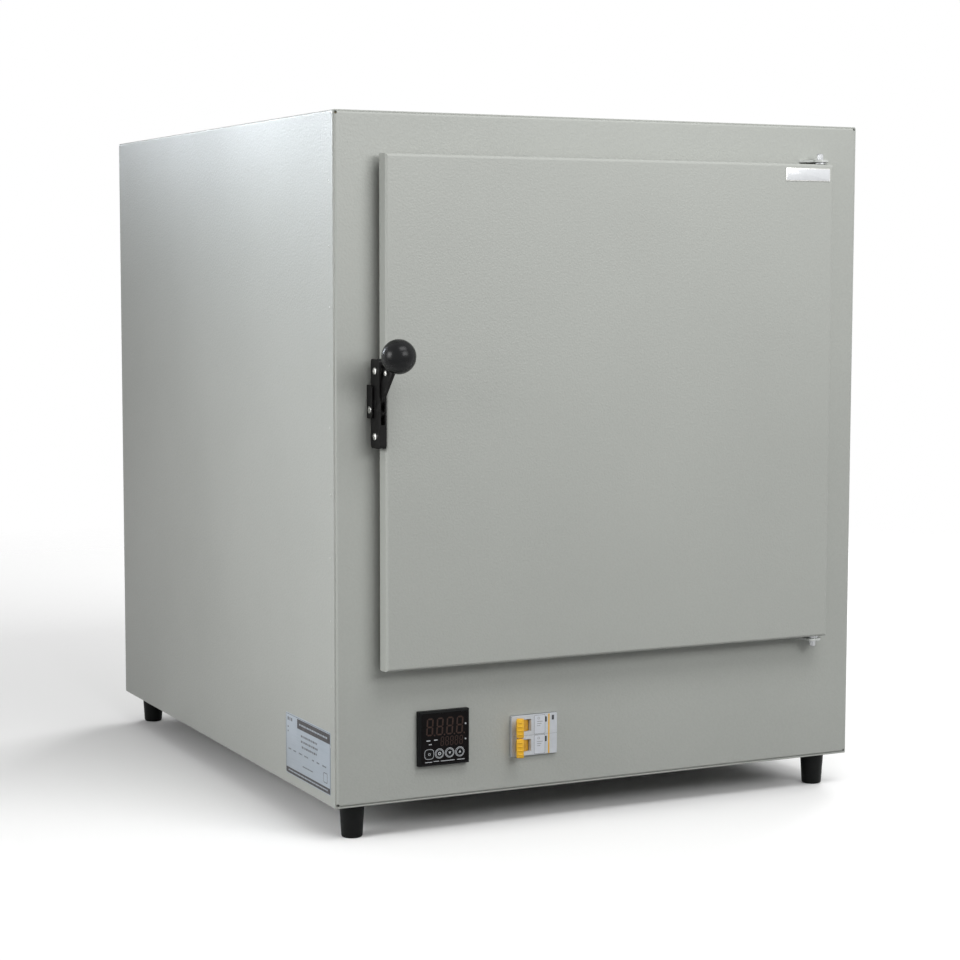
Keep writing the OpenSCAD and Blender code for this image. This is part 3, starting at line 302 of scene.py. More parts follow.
def moulded(name, colour, shade, rough, grain, marks, depth, **more):
    sizes = {"Grain": grain, "Marks": marks}
    return finish_of(name, colour, shade, rough, MOULDED, sizes, depth, **more)


grey_paint = powder("grey_powder_paint", (0.424, 0.439, 0.411), (0.39, 0.403, 0.378), (0.38, 0.46),
                    540, 1600, 5, 0.0005, edge=0.0006, gleam=0.36)
# painted highlight: the hinge lugs take a lighter copy of the body paint, partly their own lighter finish and
# partly the light their front edges catch
lug_highlight_paint = powder("hinge_lug_highlight_paint", (0.6, 0.62, 0.6), (0.5, 0.52, 0.5), (0.25, 0.34),
                   700, 2000, 30, 0.0003, edge=0.0005)
# painted highlight: the weld tacks take a lighter copy of the body paint, standing in for the glint on their
# bumps
tack_glint_paint = powder("painted_over_tack_glint", (0.6, 0.61, 0.58), (0.5, 0.51, 0.48), (0.25, 0.34),
                    900, 2600, 40, 0.0005)
stainless = drawn_metal("stainless_sheet", (0.54, 0.535, 0.52), (0.41, 0.405, 0.395), (0.26, 0.38),
                        900, 14, 0.00006)
chrome_wire = moulded("plated_wire", (0.82, 0.82, 0.82), (0.7, 0.7, 0.69), (0.1, 0.2),
                      1500, 90, 0.00003, metal=1)
zinc_sheet = finish_of("galvanised_sheet", (0.66, 0.67, 0.68), (0.5, 0.51, 0.52), (0.34, 0.5),
                       SPANGLE, {"Crystals": 90}, 0.00008, metal=1)
bright_zinc = moulded("bright_zinc", (0.84, 0.84, 0.82), (0.68, 0.68, 0.66), (0.2, 0.32),
                      2600, 300, 0.00005, metal=1)
pin_steel = drawn_metal("pin_steel", (0.5, 0.51, 0.52), (0.36, 0.37, 0.38), (0.36, 0.46),
                        1800, 160, 0.00004)
black_steel = moulded("blacked_steel", (0.0085, 0.0082, 0.0085), (0.0055, 0.0055, 0.0055), (0.34, 0.48),
                      1500, 120, 0.0002, worn=((0.045, 0.043, 0.042), 0.0005), gleam=0.13)
black_gloss = moulded("gloss_phenolic", (0.0045, 0.005, 0.0056), (0.003, 0.0033, 0.0037), (0.22, 0.3),
                      500, 110, 0.00004, edge=0, gleam=0.2)
foot_rubber = moulded("foot_rubber", (0.0072, 0.0082, 0.0078), (0.0045, 0.005, 0.0049), (0.4, 0.56),
                      1400, 90, 0.0003, gleam=0.12)
mineral_wool = finish_of("mineral_wool", (0.62, 0.53, 0.3), (0.36, 0.29, 0.14), (0.9, 1),
                         FIBRE, {"Fibres": 260}, 0.003, edge=0.003, relief=0.9)
heater_sheath = moulded("heat_stained_sheath", (0.26, 0.22, 0.19), (0.09, 0.085, 0.1), (0.38, 0.55),
                        1100, 26, 0.0001, metal=1, edge=0)
heater_ceramic = moulded("heater_ceramic", (0.86, 0.83, 0.76), (0.74, 0.7, 0.62), (0.35, 0.55),
                         900, 150, 0.0002)
bush_brass = moulded("bush_brass", (0.72, 0.52, 0.2), (0.5, 0.34, 0.12), (0.22, 0.36),
                     1800, 200, 0.00005, metal=1)
red_silicone = moulded("door_silicone", (0.42, 0.1, 0.065), (0.33, 0.075, 0.05), (0.42, 0.58),
                       900, 40, 0.0002, edge=0, sheen=0.1)
black_plastic = moulded("black_moulding", (0.0058, 0.0062, 0.0065), (0.004, 0.0042, 0.0045), (0.34, 0.46),
                        2400, 120, 0.00012, edge=0.0007, gleam=0.08)
smoked_window = moulded("smoked_window", (0.0052, 0.0042, 0.0043), (0.0038, 0.003, 0.0032), (0.2, 0.3),
                        300, 90, 0.00003, gleam=0.06)
breaker_white = moulded("breaker_moulding", (0.6, 0.63, 0.67), (0.54, 0.57, 0.605), (0.32, 0.44),
                        2400, 140, 0.0001, edge=0.0006)
toggle_yellow = moulded("toggle_moulding", (0.86, 0.5, 0.025), (0.74, 0.4, 0.018), (0.28, 0.42),
                        2400, 260, 0.0001, edge=0)
# painted shade: the toggle drums take a darker copy of the toggles' yellow, for the shade they sit in
drum_shaded_yellow = moulded("toggle_drum_painted_shade", (0.64, 0.33, 0.014), (0.5, 0.25, 0.01), (0.3, 0.44),
                      2400, 260, 0.0001, edge=0)
sink_metal = drawn_metal("extruded_aluminium", (0.7, 0.71, 0.72), (0.58, 0.59, 0.6), (0.28, 0.42),
                         1100, 20, 0.00006)
plate_foil = drawn_metal("silver_foil_plate", (0.42, 0.475, 0.53), (0.365, 0.415, 0.47), (0.28, 0.4),
                         1500, 60, 0.00003, metal=0.25)
plate_ink = moulded("plate_ink", (0.066, 0.062, 0.066), (0.045, 0.043, 0.046), (0.36, 0.5),
                    2400, 160, 0.00003, gleam=0.25)
faint_ink = moulded("faint_plate_ink", (0.15, 0.155, 0.17), (0.1, 0.105, 0.115), (0.4, 0.5),
                    2400, 160, 0.00003)
badge_enamel = moulded("badge_enamel", (0.7, 0.715, 0.735), (0.64, 0.655, 0.675), (0.2, 0.3),
                       900, 160, 0.00004, coat=0.3)
unlit_digit = moulded("unlit_digit", (0.05, 0.03, 0.0245), (0.038, 0.023, 0.019), (0.2, 0.3),
                      900, 300, 0.00002, edge=0, gleam=0.1)
key_print = moulded("key_print", (0.56, 0.58, 0.6), (0.42, 0.44, 0.46), (0.35, 0.45),
                    2400, 400, 0.00002, edge=0)
breaker_ink = moulded("breaker_ink", (0.03, 0.033, 0.04), (0.02, 0.022, 0.026), (0.35, 0.5),
                      2400, 400, 0.00002, edge=0)
breaker_label = moulded("breaker_label", (0.66, 0.69, 0.74), (0.61, 0.64, 0.69), (0.3, 0.4),
                        2400, 200, 0.00002, edge=0)
NODE_FINISH = (
    (grey_paint, "outer_shell front_panel rear_panel base_pan door_skin"),
    # the hinge lugs' lighter paint is partly a painted highlight
    (lug_highlight_paint, "hinge_lugs"),
    (stainless, "chamber_liner guard_left guard_right shelf_runners door_liner"),
    (stainless, "vent_tube vent_flap vent_pivot thermocouple heater_supports"),
    (chrome_wire, "shelf_lower shelf_upper"),
    (zinc_sheet, "divider inner_back breaker_rail earth_stud"),
    (bright_zinc, "hinge_bolts bracket_screws keeper_pin"),
    (black_steel, "latch_bracket latch_lever keeper lever_rivet"),
    (black_gloss, "ball_knob"),
    (foot_rubber, "feet"),
    (mineral_wool, "wool_left wool_right wool_top wool_bottom wool_rear door_wool"),
    (heater_sheath, "heater_left heater_right"),
    (heater_ceramic, "heater_insulators"),
    (bush_brass, "hinge_bushes"),
    (red_silicone, "door_gasket"),
    (black_plastic, "controller_case controller_clamp key_1 key_2 key_3 key_4 cable_gland relay"),
    (smoked_window, "controller_window"),
    (breaker_white, "breaker_case terminal_block"),
    (toggle_yellow, "breaker_toggles"),
    (sink_metal, "heat_sink"),
)


def dress_nodes():
    """Gives each node of the frame its finish."""
    for finish, names in NODE_FINISH:
        for name in names.split():
            mesh = nodes[name].data
            mesh.materials.clear()
            mesh.materials.append(finish)


# Drawing aids: a shape is drawn in millimetres, x to the right, y up and z outwards, then set on its face

SHARP_ANGLE = 38
SUNK = -0.02  # how far under its face a print starts, so that none floats
CORNER_STEPS = 4


def facing(origin, right, up):
    """The place of a drawing whose x runs along right and whose y runs along up."""
    right, up = Vector(right), Vector(up)
    out = right.cross(up)
    place = Matrix.Identity(4)
    for row in range(3):
        place[row] = (right[row], up[row], out[row], origin[row])
    return place @ Matrix.Scale(MM, 4)


def on_front(x, y, z):
    return facing((x, y, z), (1, 0, 0), (0, 0, 1))


def on_rear(x, y, z):
    return facing((x, y, z), (-1, 0, 0), (0, 0, 1))


def on_left(x, y, z):
    return facing((x, y, z), (0, -1, 0), (0, 0, 1))


def on_right(x, y, z):
    return facing((x, y, z), (0, 1, 0), (0, 0, 1))


def under(x, y, z):
    return facing((x, y, z), (1, 0, 0), (0, -1, 0))


def rect(x0, y0, x1, y1):
    return [(x0, y0), (x1, y0), (x1, y1), (x0, y1)]


def round_rect(w, h, r, cx=0, cy=0):
    points = []
    for sx, sy, start in ((1, 1, 0), (-1, 1, 90), (-1, -1, 180), (1, -1, 270)):
        for i in range(CORNER_STEPS + 1):
            a = math.radians(start + 90 * i / CORNER_STEPS)
            points.append((cx + sx * (w / 2 - r) + r * math.cos(a), cy + sy * (h / 2 - r) + r * math.sin(a)))
    return points


def slab(bm, outline, z0, z1, rounded=0):
    """A flat part of the given outline from z0 to z1, with its outer rim rounded."""
    low = [bm.verts.new((x, y, z0)) for x, y in outline]
    high = [bm.verts.new((x, y, z1)) for x, y in outline]
    bm.faces.new(list(reversed(low)))
    top = bm.faces.new(high)
    count = len(outline)
    for i in range(count):
        j = (i + 1) % count
        bm.faces.new((low[i], low[j], high[j], high[i]))
    if rounded:
        bmesh.ops.bevel(bm, geom=list(top.edges), offset=rounded, segments=2, profile=0.5,
                        affect="EDGES", clamp_overlap=True)


def rounded_block(bm, x0, x1, y0, y1, z0, z1, rounded):
    """A block with all its edges rounded."""
    verts = [bm.verts.new((x, y, z)) for x in (x0, x1) for y in (y0, y1) for z in (z0, z1)]
    quads = ((0, 1, 3, 2), (4, 6, 7, 5), (0, 4, 5, 1), (2, 3, 7, 6), (0, 2, 6, 4), (1, 5, 7, 3))
    faces = [bm.faces.new([verts[i] for i in quad]) for quad in quads]
    edges = list({edge for face in faces for edge in face.edges})
    bmesh.ops.bevel(bm, geom=edges, offset=rounded, segments=3, profile=0.5,
                    affect="EDGES", clamp_overlap=True)


def band(bm, outer, inner, z0, z1):
    """A closed border between two outlines of as many points."""
    rows = [[bm.verts.new((x, y, z)) for x, y in outline] for outline, z in
            ((inner, z0), (outer, z0), (outer, z1), (inner, z1))]
    count = len(outer)
    for a, b in zip(rows, rows[1:] + rows[:1]):
        for i in range(count):
            j = (i + 1) % count
            bm.faces.new((a[i], a[j], b[j], b[i]))


def dashes(bm, x0, x1, y, h, lengths, z0=0.2, z1=0.25):
    """A ruled row of short strokes, which stands for an entry without writing one."""
    shortest, gap = 0.3, h * 0.55
    x, i = x0, 0
    while x < x1 - shortest:
        end = min(x + lengths[i % len(lengths)], x1)
        slab(bm, rect(x, y - h / 2, end, y + h / 2), z0, z1)
        x, i = end + gap, i + 1


def turned(bm, profile, sides=32, cx=0, cy=0, closed=False):
    """A turned part from its (radius, height) profile."""
    rings = []
    for r, z in profile:
        if r < 1e-6:
            rings.append([bm.verts.new((cx, cy, z))])
        else:
            rings.append([bm.verts.new((cx + r * math.cos(math.tau * i / sides),
                                        cy + r * math.sin(math.tau * i / sides), z)) for i in range(sides)])
    pairs = list(zip(rings, rings[1:]))
    if closed:
        pairs.append((rings[-1], rings[0]))
    for a, b in pairs:
        for i in range(sides):
            j = (i + 1) % sides
            if len(a) == 1:
                bm.faces.new((a[0], b[i], b[j]))
            elif len(b) == 1:
                bm.faces.new((a[i], b[0], a[j]))
            else:
                bm.faces.new((a[i], b[i], b[j], a[j]))


def ring(bm, r_out, r_in, z0, z1, cx=0, cy=0, sides=32):
    turned(bm, [(r_in, z0), (r_out, z0), (r_out, z1), (r_in, z1)], sides, cx, cy, closed=True)


def as_piece(name, mesh, finish, sharp=SHARP_ANGLE):
    """A mesh as an object at the origin with its finish, smooth but for its sharp edges."""
    mesh.name = name
    mesh.materials.clear()
    mesh.materials.append(finish)
    mesh.shade_smooth()
    mesh.set_sharp_from_angle(angle=math.radians(sharp))
    piece = bpy.data.objects.new(name, mesh)
    bpy.context.scene.collection.objects.link(piece)
    return piece


def as_mesh(name, bm, finish, place, sharp=SHARP_ANGLE):
    """A drawing as an object at the origin, with its place in its mesh."""
    bm.transform(place)
    bmesh.ops.recalc_face_normals(bm, faces=bm.faces)
    mesh = bpy.data.meshes.new(name)
    bm.to_mesh(mesh)
    bm.free()
    return as_piece(name, mesh, finish, sharp)


def plain_mesh(source):
    """An object's mesh with its modifiers applied; the object goes."""
    graph = bpy.context.evaluated_depsgraph_get()
    mesh = bpy.data.meshes.new_from_object(source.evaluated_get(graph))
    bpy.data.objects.remove(source)
    return mesh


def set_on(piece, body, slot, *replaced):
    """Lets a piece move with its body, and hides the nodes it replaces; slot is not used."""
    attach(piece, body)
    if replaced:
        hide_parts(*replaced)
    return piece


# Geometry Nodes: one fastening repeated at marked points, and ribs round a nut

def geometry_tree(name, inputs):
    """An empty geometry tree with named inputs, and its two ends."""
    tree = bpy.data.node_groups.new(name, "GeometryNodeTree")
    tree.interface.new_socket(name="Geometry", in_out="INPUT", socket_type="NodeSocketGeometry")
    for label, kind, value in inputs:
        socket = tree.interface.new_socket(name=label, in_out="INPUT", socket_type=kind)
        if value is not None:
            socket.default_value = value
    tree.interface.new_socket(name="Geometry", in_out="OUTPUT", socket_type="NodeSocketGeometry")
    return tree, tree.nodes.new("NodeGroupInput"), tree.nodes.new("NodeGroupOutput")


def ended(tree, instances, finish, end):
    """Closes a tree with real geometry and its finish."""
    real = tree.nodes.new("GeometryNodeRealizeInstances")
    tree.links.new(instances, real.inputs[0])
    dressed = tree.nodes.new("GeometryNodeSetMaterial")
    dressed.inputs["Material"].default_value = finish
    tree.links.new(real.outputs[0], dressed.inputs["Geometry"])
    tree.links.new(dressed.outputs[0], end.inputs[0])


def grown(name, marks, tree, values, finish, place):
    """What a tree with these inputs makes of a mesh of marks, as a plain piece in its place."""
    holder = bpy.data.objects.new(name + "_marks", marks)
    bpy.context.scene.collection.objects.link(holder)
    modifier = holder.modifiers.new("repeat", "NODES")
    modifier.node_group = tree
    for item in tree.interface.items_tree:
        if item.item_type == "SOCKET" and item.in_out == "INPUT" and item.name in values:
            modifier[item.identifier] = values[item.name]
    mesh = plain_mesh(holder)
    mesh.transform(place)
    return as_piece(name, mesh, finish)


def fastening_tree(finish):
    """Sets a fastening on every marked point, each turned by chance from a fixed seed."""
    tree, start, end = geometry_tree("fastenings", [
        ("Fastening", "NodeSocketObject", None),
        ("Fastening size", "NodeSocketFloat", 1.0),
        ("Turn seed", "NodeSocketInt", 3),
    ])
    source = tree.nodes.new("GeometryNodeObjectInfo")
    tree.links.new(start.outputs["Fastening"], source.inputs["Object"])
    chance = tree.nodes.new("FunctionNodeRandomValue")
    chance.data_type = "FLOAT"
    least, most, drawn = chance.inputs[2], chance.inputs[3], chance.outputs[1]
    least.default_value = 0
    most.default_value = math.tau
    tree.links.new(start.outputs["Turn seed"], chance.inputs["Seed"])
    about = tree.nodes.new("ShaderNodeCombineXYZ")
    tree.links.new(drawn, about.inputs["Z"])
    turn = tree.nodes.new("FunctionNodeEulerToRotation")
    tree.links.new(about.outputs[0], turn.inputs[0])
    placed = tree.nodes.new("GeometryNodeInstanceOnPoints")
    tree.links.new(start.outputs["Geometry"], placed.inputs["Points"])
    tree.links.new(source.outputs["Geometry"], placed.inputs["Instance"])
    tree.links.new(turn.outputs[0], placed.inputs["Rotation"])
    tree.links.new(start.outputs["Fastening size"], placed.inputs["Scale"])
    ended(tree, placed.outputs[0], finish, end)
    return tree


def fastenings(name, points, drawn, place, body, seed, finish=bright_zinc, slot="bright_screw"):
    """One piece with the drawn fastening at each point."""
    pattern = as_mesh(name + "_pattern", drawn, finish, Matrix.Identity(4))
    marks = bpy.data.meshes.new(name + "_marks")
    marks.from_pydata([(x, y, 0) for x, y in points], [], [])
    values = {"Fastening": pattern, "Fastening size": 1.0, "Turn seed": seed}
    piece = grown(name, marks, fastening_tree(finish), values, finish, place)
    bpy.data.objects.remove(pattern)
    return set_on(piece, body, slot)


def rib_tree(finish):
    """A ring of equal upright ribs."""
    tree, start, end = geometry_tree("rib_ring", [
        ("Ribs", "NodeSocketInt", 24),
        ("Ring radius", "NodeSocketFloat", 12.0),
        ("Rib width", "NodeSocketFloat", 1.0),
        ("Rib depth", "NodeSocketFloat", 1.0),
        ("Rib length", "NodeSocketFloat", 8.0),
    ])
    circle = tree.nodes.new("GeometryNodeMeshCircle")
    tree.links.new(start.outputs["Ribs"], circle.inputs["Vertices"])
    tree.links.new(start.outputs["Ring radius"], circle.inputs["Radius"])
    size = tree.nodes.new("ShaderNodeCombineXYZ")
    for axis, label in (("X", "Rib depth"), ("Y", "Rib width"), ("Z", "Rib length")):
        tree.links.new(start.outputs[label], size.inputs[axis])
    rib = tree.nodes.new("GeometryNodeMeshCube")
    tree.links.new(size.outputs[0], rib.inputs["Size"])
    outward = tree.nodes.new("GeometryNodeInputPosition")
    turn = tree.nodes.new("FunctionNodeAlignEulerToVector")
    turn.axis = "X"
    tree.links.new(outward.outputs[0], turn.inputs["Vector"])
    placed = tree.nodes.new("GeometryNodeInstanceOnPoints")
    tree.links.new(circle.outputs[0], placed.inputs["Points"])
    tree.links.new(rib.outputs[0], placed.inputs["Instance"])
    tree.links.new(turn.outputs[0], placed.inputs["Rotation"])
    ended(tree, placed.outputs[0], finish, end)
    return tree


# Fastenings, drawn once by their radius and height

def cross_head(r, h):
    """A pan head with a cross recess, its base at height 0."""
    bm = bmesh.new()
    turned(bm, [(0, 0), (r, 0), (r, h * 0.35), (r * 0.93, h * 0.66), (r * 0.76, h * 0.88),
                (r * 0.52, h), (0, h)], 24)
    head = as_mesh("head_blank", bm, bright_zinc, Matrix.Identity(4))
    cutter = bmesh.new()
    w, reach = r * 0.16, r * 0.5
    arms = [(-w, -reach), (w, -reach), (w, -w), (reach, -w), (reach, w), (w, w), (w, reach),
            (-w, reach), (-w, w), (-reach, w), (-reach, -w), (-w, -w)]
    slab(cutter, arms, h * 0.25, h * 1.4)
    tool = as_mesh("recess_tool", cutter, bright_zinc, Matrix.Identity(4))
    cut = head.modifiers.new("recess", "BOOLEAN")
    cut.object = tool
    cut.operation = "DIFFERENCE"
    cut.solver = "EXACT"
    out = bmesh.new()
    out.from_mesh(plain_mesh(head))
    bpy.data.objects.remove(tool)
    return out


def rivet_head(r, h):
    """A pop rivet: a low dome with the pin's dimple in the middle."""
    bm = bmesh.new()
    turned(bm, [(0, 0), (r, 0), (r, h * 0.3), (r * 0.86, h * 0.72), (r * 0.6, h), (r * 0.42, h),
                (r * 0.36, h * 0.55), (0, h * 0.55)], 20)
    return bm


def tack_blob(r, h):
    """A dab of weld under the paint, slightly out of round."""
    bm = bmesh.new()
    turned(bm, [(0, 0), (r, 0), (r * 0.9, h * 0.4), (r * 0.62, h * 0.8), (r * 0.3, h), (0, h * 0.94)], 14)
    for vert in bm.verts:
        vert.co.x *= 1.0 + 0.16 * math.sin(9 * vert.co.y)
    return bm


# Body

TACK_HEIGHTS = (531, 477, 426, 377, 325, 268, 214, 160, 104, 52)


def weld_tacks():
    """Tacks, in a lighter paint that is a painted glint, where the wrapped shell is welded to the front
    panel's flange on both sides.
    """
    low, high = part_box("outer_shell")
    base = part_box("base_pan")[0].z
    from_front, stagger = 8.5, 0.6
    points = [(from_front - stagger * (i % 3), z) for i, z in enumerate(TACK_HEIGHTS)]
    for name, place, way, seed in (("left_weld_tacks", on_left(low.x, low.y, base), -1, 5),
                                   ("right_weld_tacks", on_right(high.x, low.y, base), 1, 8)):
        fastenings(name, [(way * y, z) for y, z in points], tack_blob(1.15, 0.3), place, "cabinet", seed,
                   tack_glint_paint, "cabinet_paint")


def rubber_feet():
    """Turned feet with a rounded sole, a moulded collar and a screw up inside each."""
    low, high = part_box("feet")
    drop = (high.z - low.z) / MM
    top = 11.25
    profile = [(0, 9), (5.5, 9), (5.5, 0.4), (5.9, 0), (7.7, 0), (8.6, 0.35), (9.15, 1.2), (9.33, 2.4),
               (10.9, drop - 3.6), (11.0, drop - 2.6), (top, drop - 2.2), (top, drop), (0, drop)]
    screw = [(0, 9), (4.3, 9), (4.3, 8.2), (3.6, 7.2), (2.1, 6.8), (2.0, 7.6), (0, 7.6)]
    feet = bmesh.new()
    screws = bmesh.new()
    for x in (low.x + top * MM, high.x - top * MM):
        for y in (low.y + top * MM, high.y - top * MM):
            turned(feet, profile, 40, x / MM, y / MM)
            turned(screws, screw, 24, x / MM, y / MM)
    place = Matrix.Scale(MM, 4)
    set_on(as_mesh("rubber_feet", feet, foot_rubber, place, 50), "cabinet", "foot_rubber", "feet")
    set_on(as_mesh("foot_screws", screws, bright_zinc, place), "cabinet", "bright_screw")


def base_screws():
    """Screws through the base pan into the panels' lower flanges."""
    low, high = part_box("base_pan")
    row = (high.y - low.y) / MM / 2 - 9
    points = [(x, side * row) for side in (-1, 1) for x in (-196, -98, 0, 98, 196)]
    fastenings("base_screws", points, cross_head(3.4, 1.9),
               under(0, (low.y + high.y) / 2, low.z), "cabinet", 11)


def rating_plate():
    """A foil plate low on the left side, ruled for its entries and otherwise bare."""
    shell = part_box("outer_shell")[0]
    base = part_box("base_pan")[0].z
    place = on_left(shell.x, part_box("front_panel")[0].y + 63.5 * MM, base + 36.5 * MM)
    title_y, foot_y, printed = 21.4, -24.0, 0.2
    foil = bmesh.new()
    slab(foil, round_rect(105, 55, 1.6), 0, 0.22, 0.06)
    set_on(as_mesh("rating_plate", foil, plate_foil, place), "cabinet", "stainless")
    bands = bmesh.new()
    slab(bands, round_rect(76, 8.6, 0.5, 13.2, title_y), printed, 0.26)
    slab(bands, round_rect(102.6, 4.8, 0.5, 0, foot_y), printed, 0.26)
    band(bands, round_rect(103.4, 53.4, 1.2), round_rect(102.7, 52.7, 1.0), printed, 0.25)
    set_on(as_mesh("plate_bands", bands, plate_ink, place), "cabinet", "black_steel")
    lines = bmesh.new()
    for x0, x1, y in ((-16, 22, 11.8), (-16, 24, 7.0), (-14, 22, 2.2)):
        dashes(lines, x0, x1, y, 1.9, (3.2, 1.4, 2.3, 4.1, 1.8))
    for x0, x1 in ((-46, -39), (-34, -28), (-21, -13), (-8, 1), (10, 15), (21, 27), (34, 43)):
        dashes(lines, x0, x1, -4.6, 1.3, (1.6, 2.2, 1.1))
    for x0, x1, y, h, lengths in ((-12, 12, -14.8, 1.0, (2.2, 1.2, 1.7)), (-48, -36, 22.4, 3.0, (3.0, 2.0)),
                                  (-48, -45.5, 15.0, 1.4, (2.5,)), (-48, -46.0, 11.0, 1.4, (2.0,))):
        dashes(lines, x0, x1, y, h, lengths)
    band(lines, round_rect(9, 9, 1.5, 41, -14), round_rect(7.6, 7.6, 1.2, 41, -14), printed, 0.235)
    set_on(as_mesh("plate_rules", lines, faint_ink, place), "cabinet", "black_steel")
    pale = bmesh.new()
    dashes(pale, -20, 46, title_y, 1.5, (2.6, 1.3, 3.4, 1.9), 0.24, 0.29)
    dashes(pale, -46, 46, foot_y, 1.2, (2.4, 1.2, 3.0), 0.24, 0.29)
    set_on(as_mesh("plate_reversed_rules", pale, plate_foil, place), "cabinet", "stainless")


# Door

def door_badge():
    """A bare enamel plate in a fine bright rim, near the door's upper hinge."""
    low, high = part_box("door_skin")
    place = on_front(high.x - 28.5 * MM, low.y, high.z - 9.75 * MM)
    rim = bmesh.new()
    slab(rim, round_rect(48, 11.6, 0.9), 0, 0.7, 0.2)
    set_on(as_mesh("badge_rim", rim, bright_zinc, place), "door", "bright_screw")
    face = bmesh.new()
    slab(face, round_rect(46.6, 10.2, 0.6), 0.6, 0.85, 0.1)
    set_on(as_mesh("badge_face", face, badge_enamel, place), "door", "stainless")


def door_rivets():
    """Rivets that hold the door's inner sheet to the lips of its skin."""
    low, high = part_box("door_liner")
    inset, lip = 2.6, 1.0
    w, h = (high.x - low.x) / 2 / MM - inset, (high.z - low.z) / 2 / MM - inset
    points = [(x * w, s * h) for s in (-1, 1) for x in (-0.96, -0.48, 0, 0.48, 0.96)]
    points += [(s * w, z * h) for s in (-1, 1) for z in (-0.6, 0, 0.6)]
    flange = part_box("door_skin")[1].y + lip * MM
    fastenings("door_rivets", points, rivet_head(1.7, 0.6),
               on_rear((low.x + high.x) / 2, flange, (low.z + high.z) / 2), "door", 4)


def latch_screws():
    """Two low pan heads on the bracket's cheek, with their shanks into the door's edge."""
    low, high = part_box("bracket_screws")
    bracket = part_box("latch_bracket")[0]
    r = (high.y - low.y) / 2 / MM
    place = on_left(bracket.x, (low.y + high.y) / 2, 0)
    points = [(0, low.z / MM + r), (0, high.z / MM - r)]
    drawn = cross_head(r * 0.92, 1.25)
    turned(drawn, [(0, 0.02), (1.9, 0.02), (1.9, -9.0), (1.2, -10.0), (0, -10.0)], 20)
    piece = fastenings("latch_screw_heads", points, drawn, place, "door", 6)
    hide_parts("bracket_screws")


def hinge_pins():
    """Hinge pins with a small hexagon at the free end, and the thrust rings that the door turns on."""
    low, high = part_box("hinge_bolts")
    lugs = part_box("hinge_lugs")
    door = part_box("door_skin")
    centre = (low + high) / 2 / MM
    lug_thickness = 2.3
    bm = bmesh.new()
    for lug, tip, face in ((lugs[1].z, high.z, door[1].z), (lugs[0].z, low.z, door[0].z)):
        lug, tip, face = lug / MM, tip / MM, face / MM
        way = 1 if tip > lug else -1
        turned(bm, [(0, face - 13 * way), (2.6, face - 13 * way), (3.0, face - 12.6 * way),
                    (3.0, lug + 0.3 * way), (2.7, lug + 0.5 * way), (0, lug + 0.5 * way)],
               32, centre.x, centre.y)
        turned(bm, [(0, lug + 0.35 * way), (3.05, lug + 0.35 * way), (3.05, tip - 0.7 * way),
                    (2.45, tip), (0, tip)], 6, centre.x, centre.y)
        turned(bm, [(3.6, lug), (3.9, lug + 0.3 * way), (3.5, lug + 0.45 * way), (2.9, lug + 0.45 * way)],
               32, centre.x, centre.y)
        inner = lug - lug_thickness * way
        ring(bm, 5.4, 3.3, min(face, inner) + 0.25, max(face, inner) - 0.05, centre.x, centre.y, 40)
    piece = as_mesh("hinge_pins", bm, pin_steel, Matrix.Scale(MM, 4), 30)
    set_on(piece, "cabinet", "bright_screw", "hinge_bolts")


def lever_knob():
    """A pressed phenolic ball on a short collar, set along the lever's arm, and the arm's screw."""
    low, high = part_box("ball_knob")
    radius = (high.x - low.x) / 2 / MM
    centre = (low + high) / 2
    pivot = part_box("lever_rivet")
    hinge = (pivot[0] + pivot[1]) / 2
    arm = Vector((0, centre.y - hinge.y, centre.z - hinge.z)).normalized()
    side = Vector((1, 0, 0))
    up = arm.cross(side)
    place = facing(centre, side, up)
    flat_share, steps = 0.955, 40
    seat = -radius * flat_share
    flat = math.degrees(math.acos(flat_share))
    profile = [(0, seat)]
    for i in range(steps):
        a = math.radians(flat + (180 - flat) * i / steps)
        profile.append((radius * math.sin(a), -radius * math.cos(a)))
    profile.append((0, radius))
    ball = bmesh.new()
    turned(ball, profile, 64)
    set_on(as_mesh("knob", ball, black_gloss, place, 60), "lever", "black_knob", "ball_knob")
    collar = bmesh.new()
    turned(collar, [(0, seat + 0.4), (4.4, seat + 0.4), (4.6, seat), (4.6, seat - 1.5),
                    (4.2, seat - 2.0), (0, seat - 2.0)], 32)
    set_on(as_mesh("knob_collar", collar, black_steel, place), "lever", "black_steel")
    along, aside = 33.8, 4
    spot = hinge + arm * along * MM + up * aside * MM
    fastenings("lever_screw", [(0, 0)], cross_head(2.3, 0.9),
               on_left(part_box("latch_lever")[0].x, spot.y, spot.z), "lever", 2)


# Controls

KEYS = ("key_1", "key_2", "key_3", "key_4")
SLANT = 0.06
HALF_POLE = 9


def bars_of_digit(w, h, t, gap):
    """The seven bars of a figure, as outlines about its middle."""
    x, y = w / 2 - t / 2, h / 2 - t / 2
    ends = [((-x, y), (x, y)), ((-x, 0), (x, 0)), ((-x, -y), (x, -y)),
            ((-x, 0), (-x, y)), ((x, 0), (x, y)), ((-x, -y), (-x, 0)), ((x, -y), (x, 0))]
    outlines = []
    for (x0, y0), (x1, y1) in ends:
        length = math.hypot(x1 - x0, y1 - y0)
        ux, uy = (x1 - x0) / length, (y1 - y0) / length
        q = t / 2
        a = (x0 + ux * gap, y0 + uy * gap)
        b = (x1 - ux * gap, y1 - uy * gap)
        points = [a, (a[0] + ux * q + uy * q, a[1] + uy * q - ux * q),
                  (b[0] - ux * q + uy * q, b[1] - uy * q - ux * q), b,
                  (b[0] - ux * q - uy * q, b[1] - uy * q + ux * q),
                  (a[0] + ux * q - uy * q, a[1] + uy * q + ux * q)]
        outlines.append([(px + SLANT * py, py) for px, py in points])
    return outlines


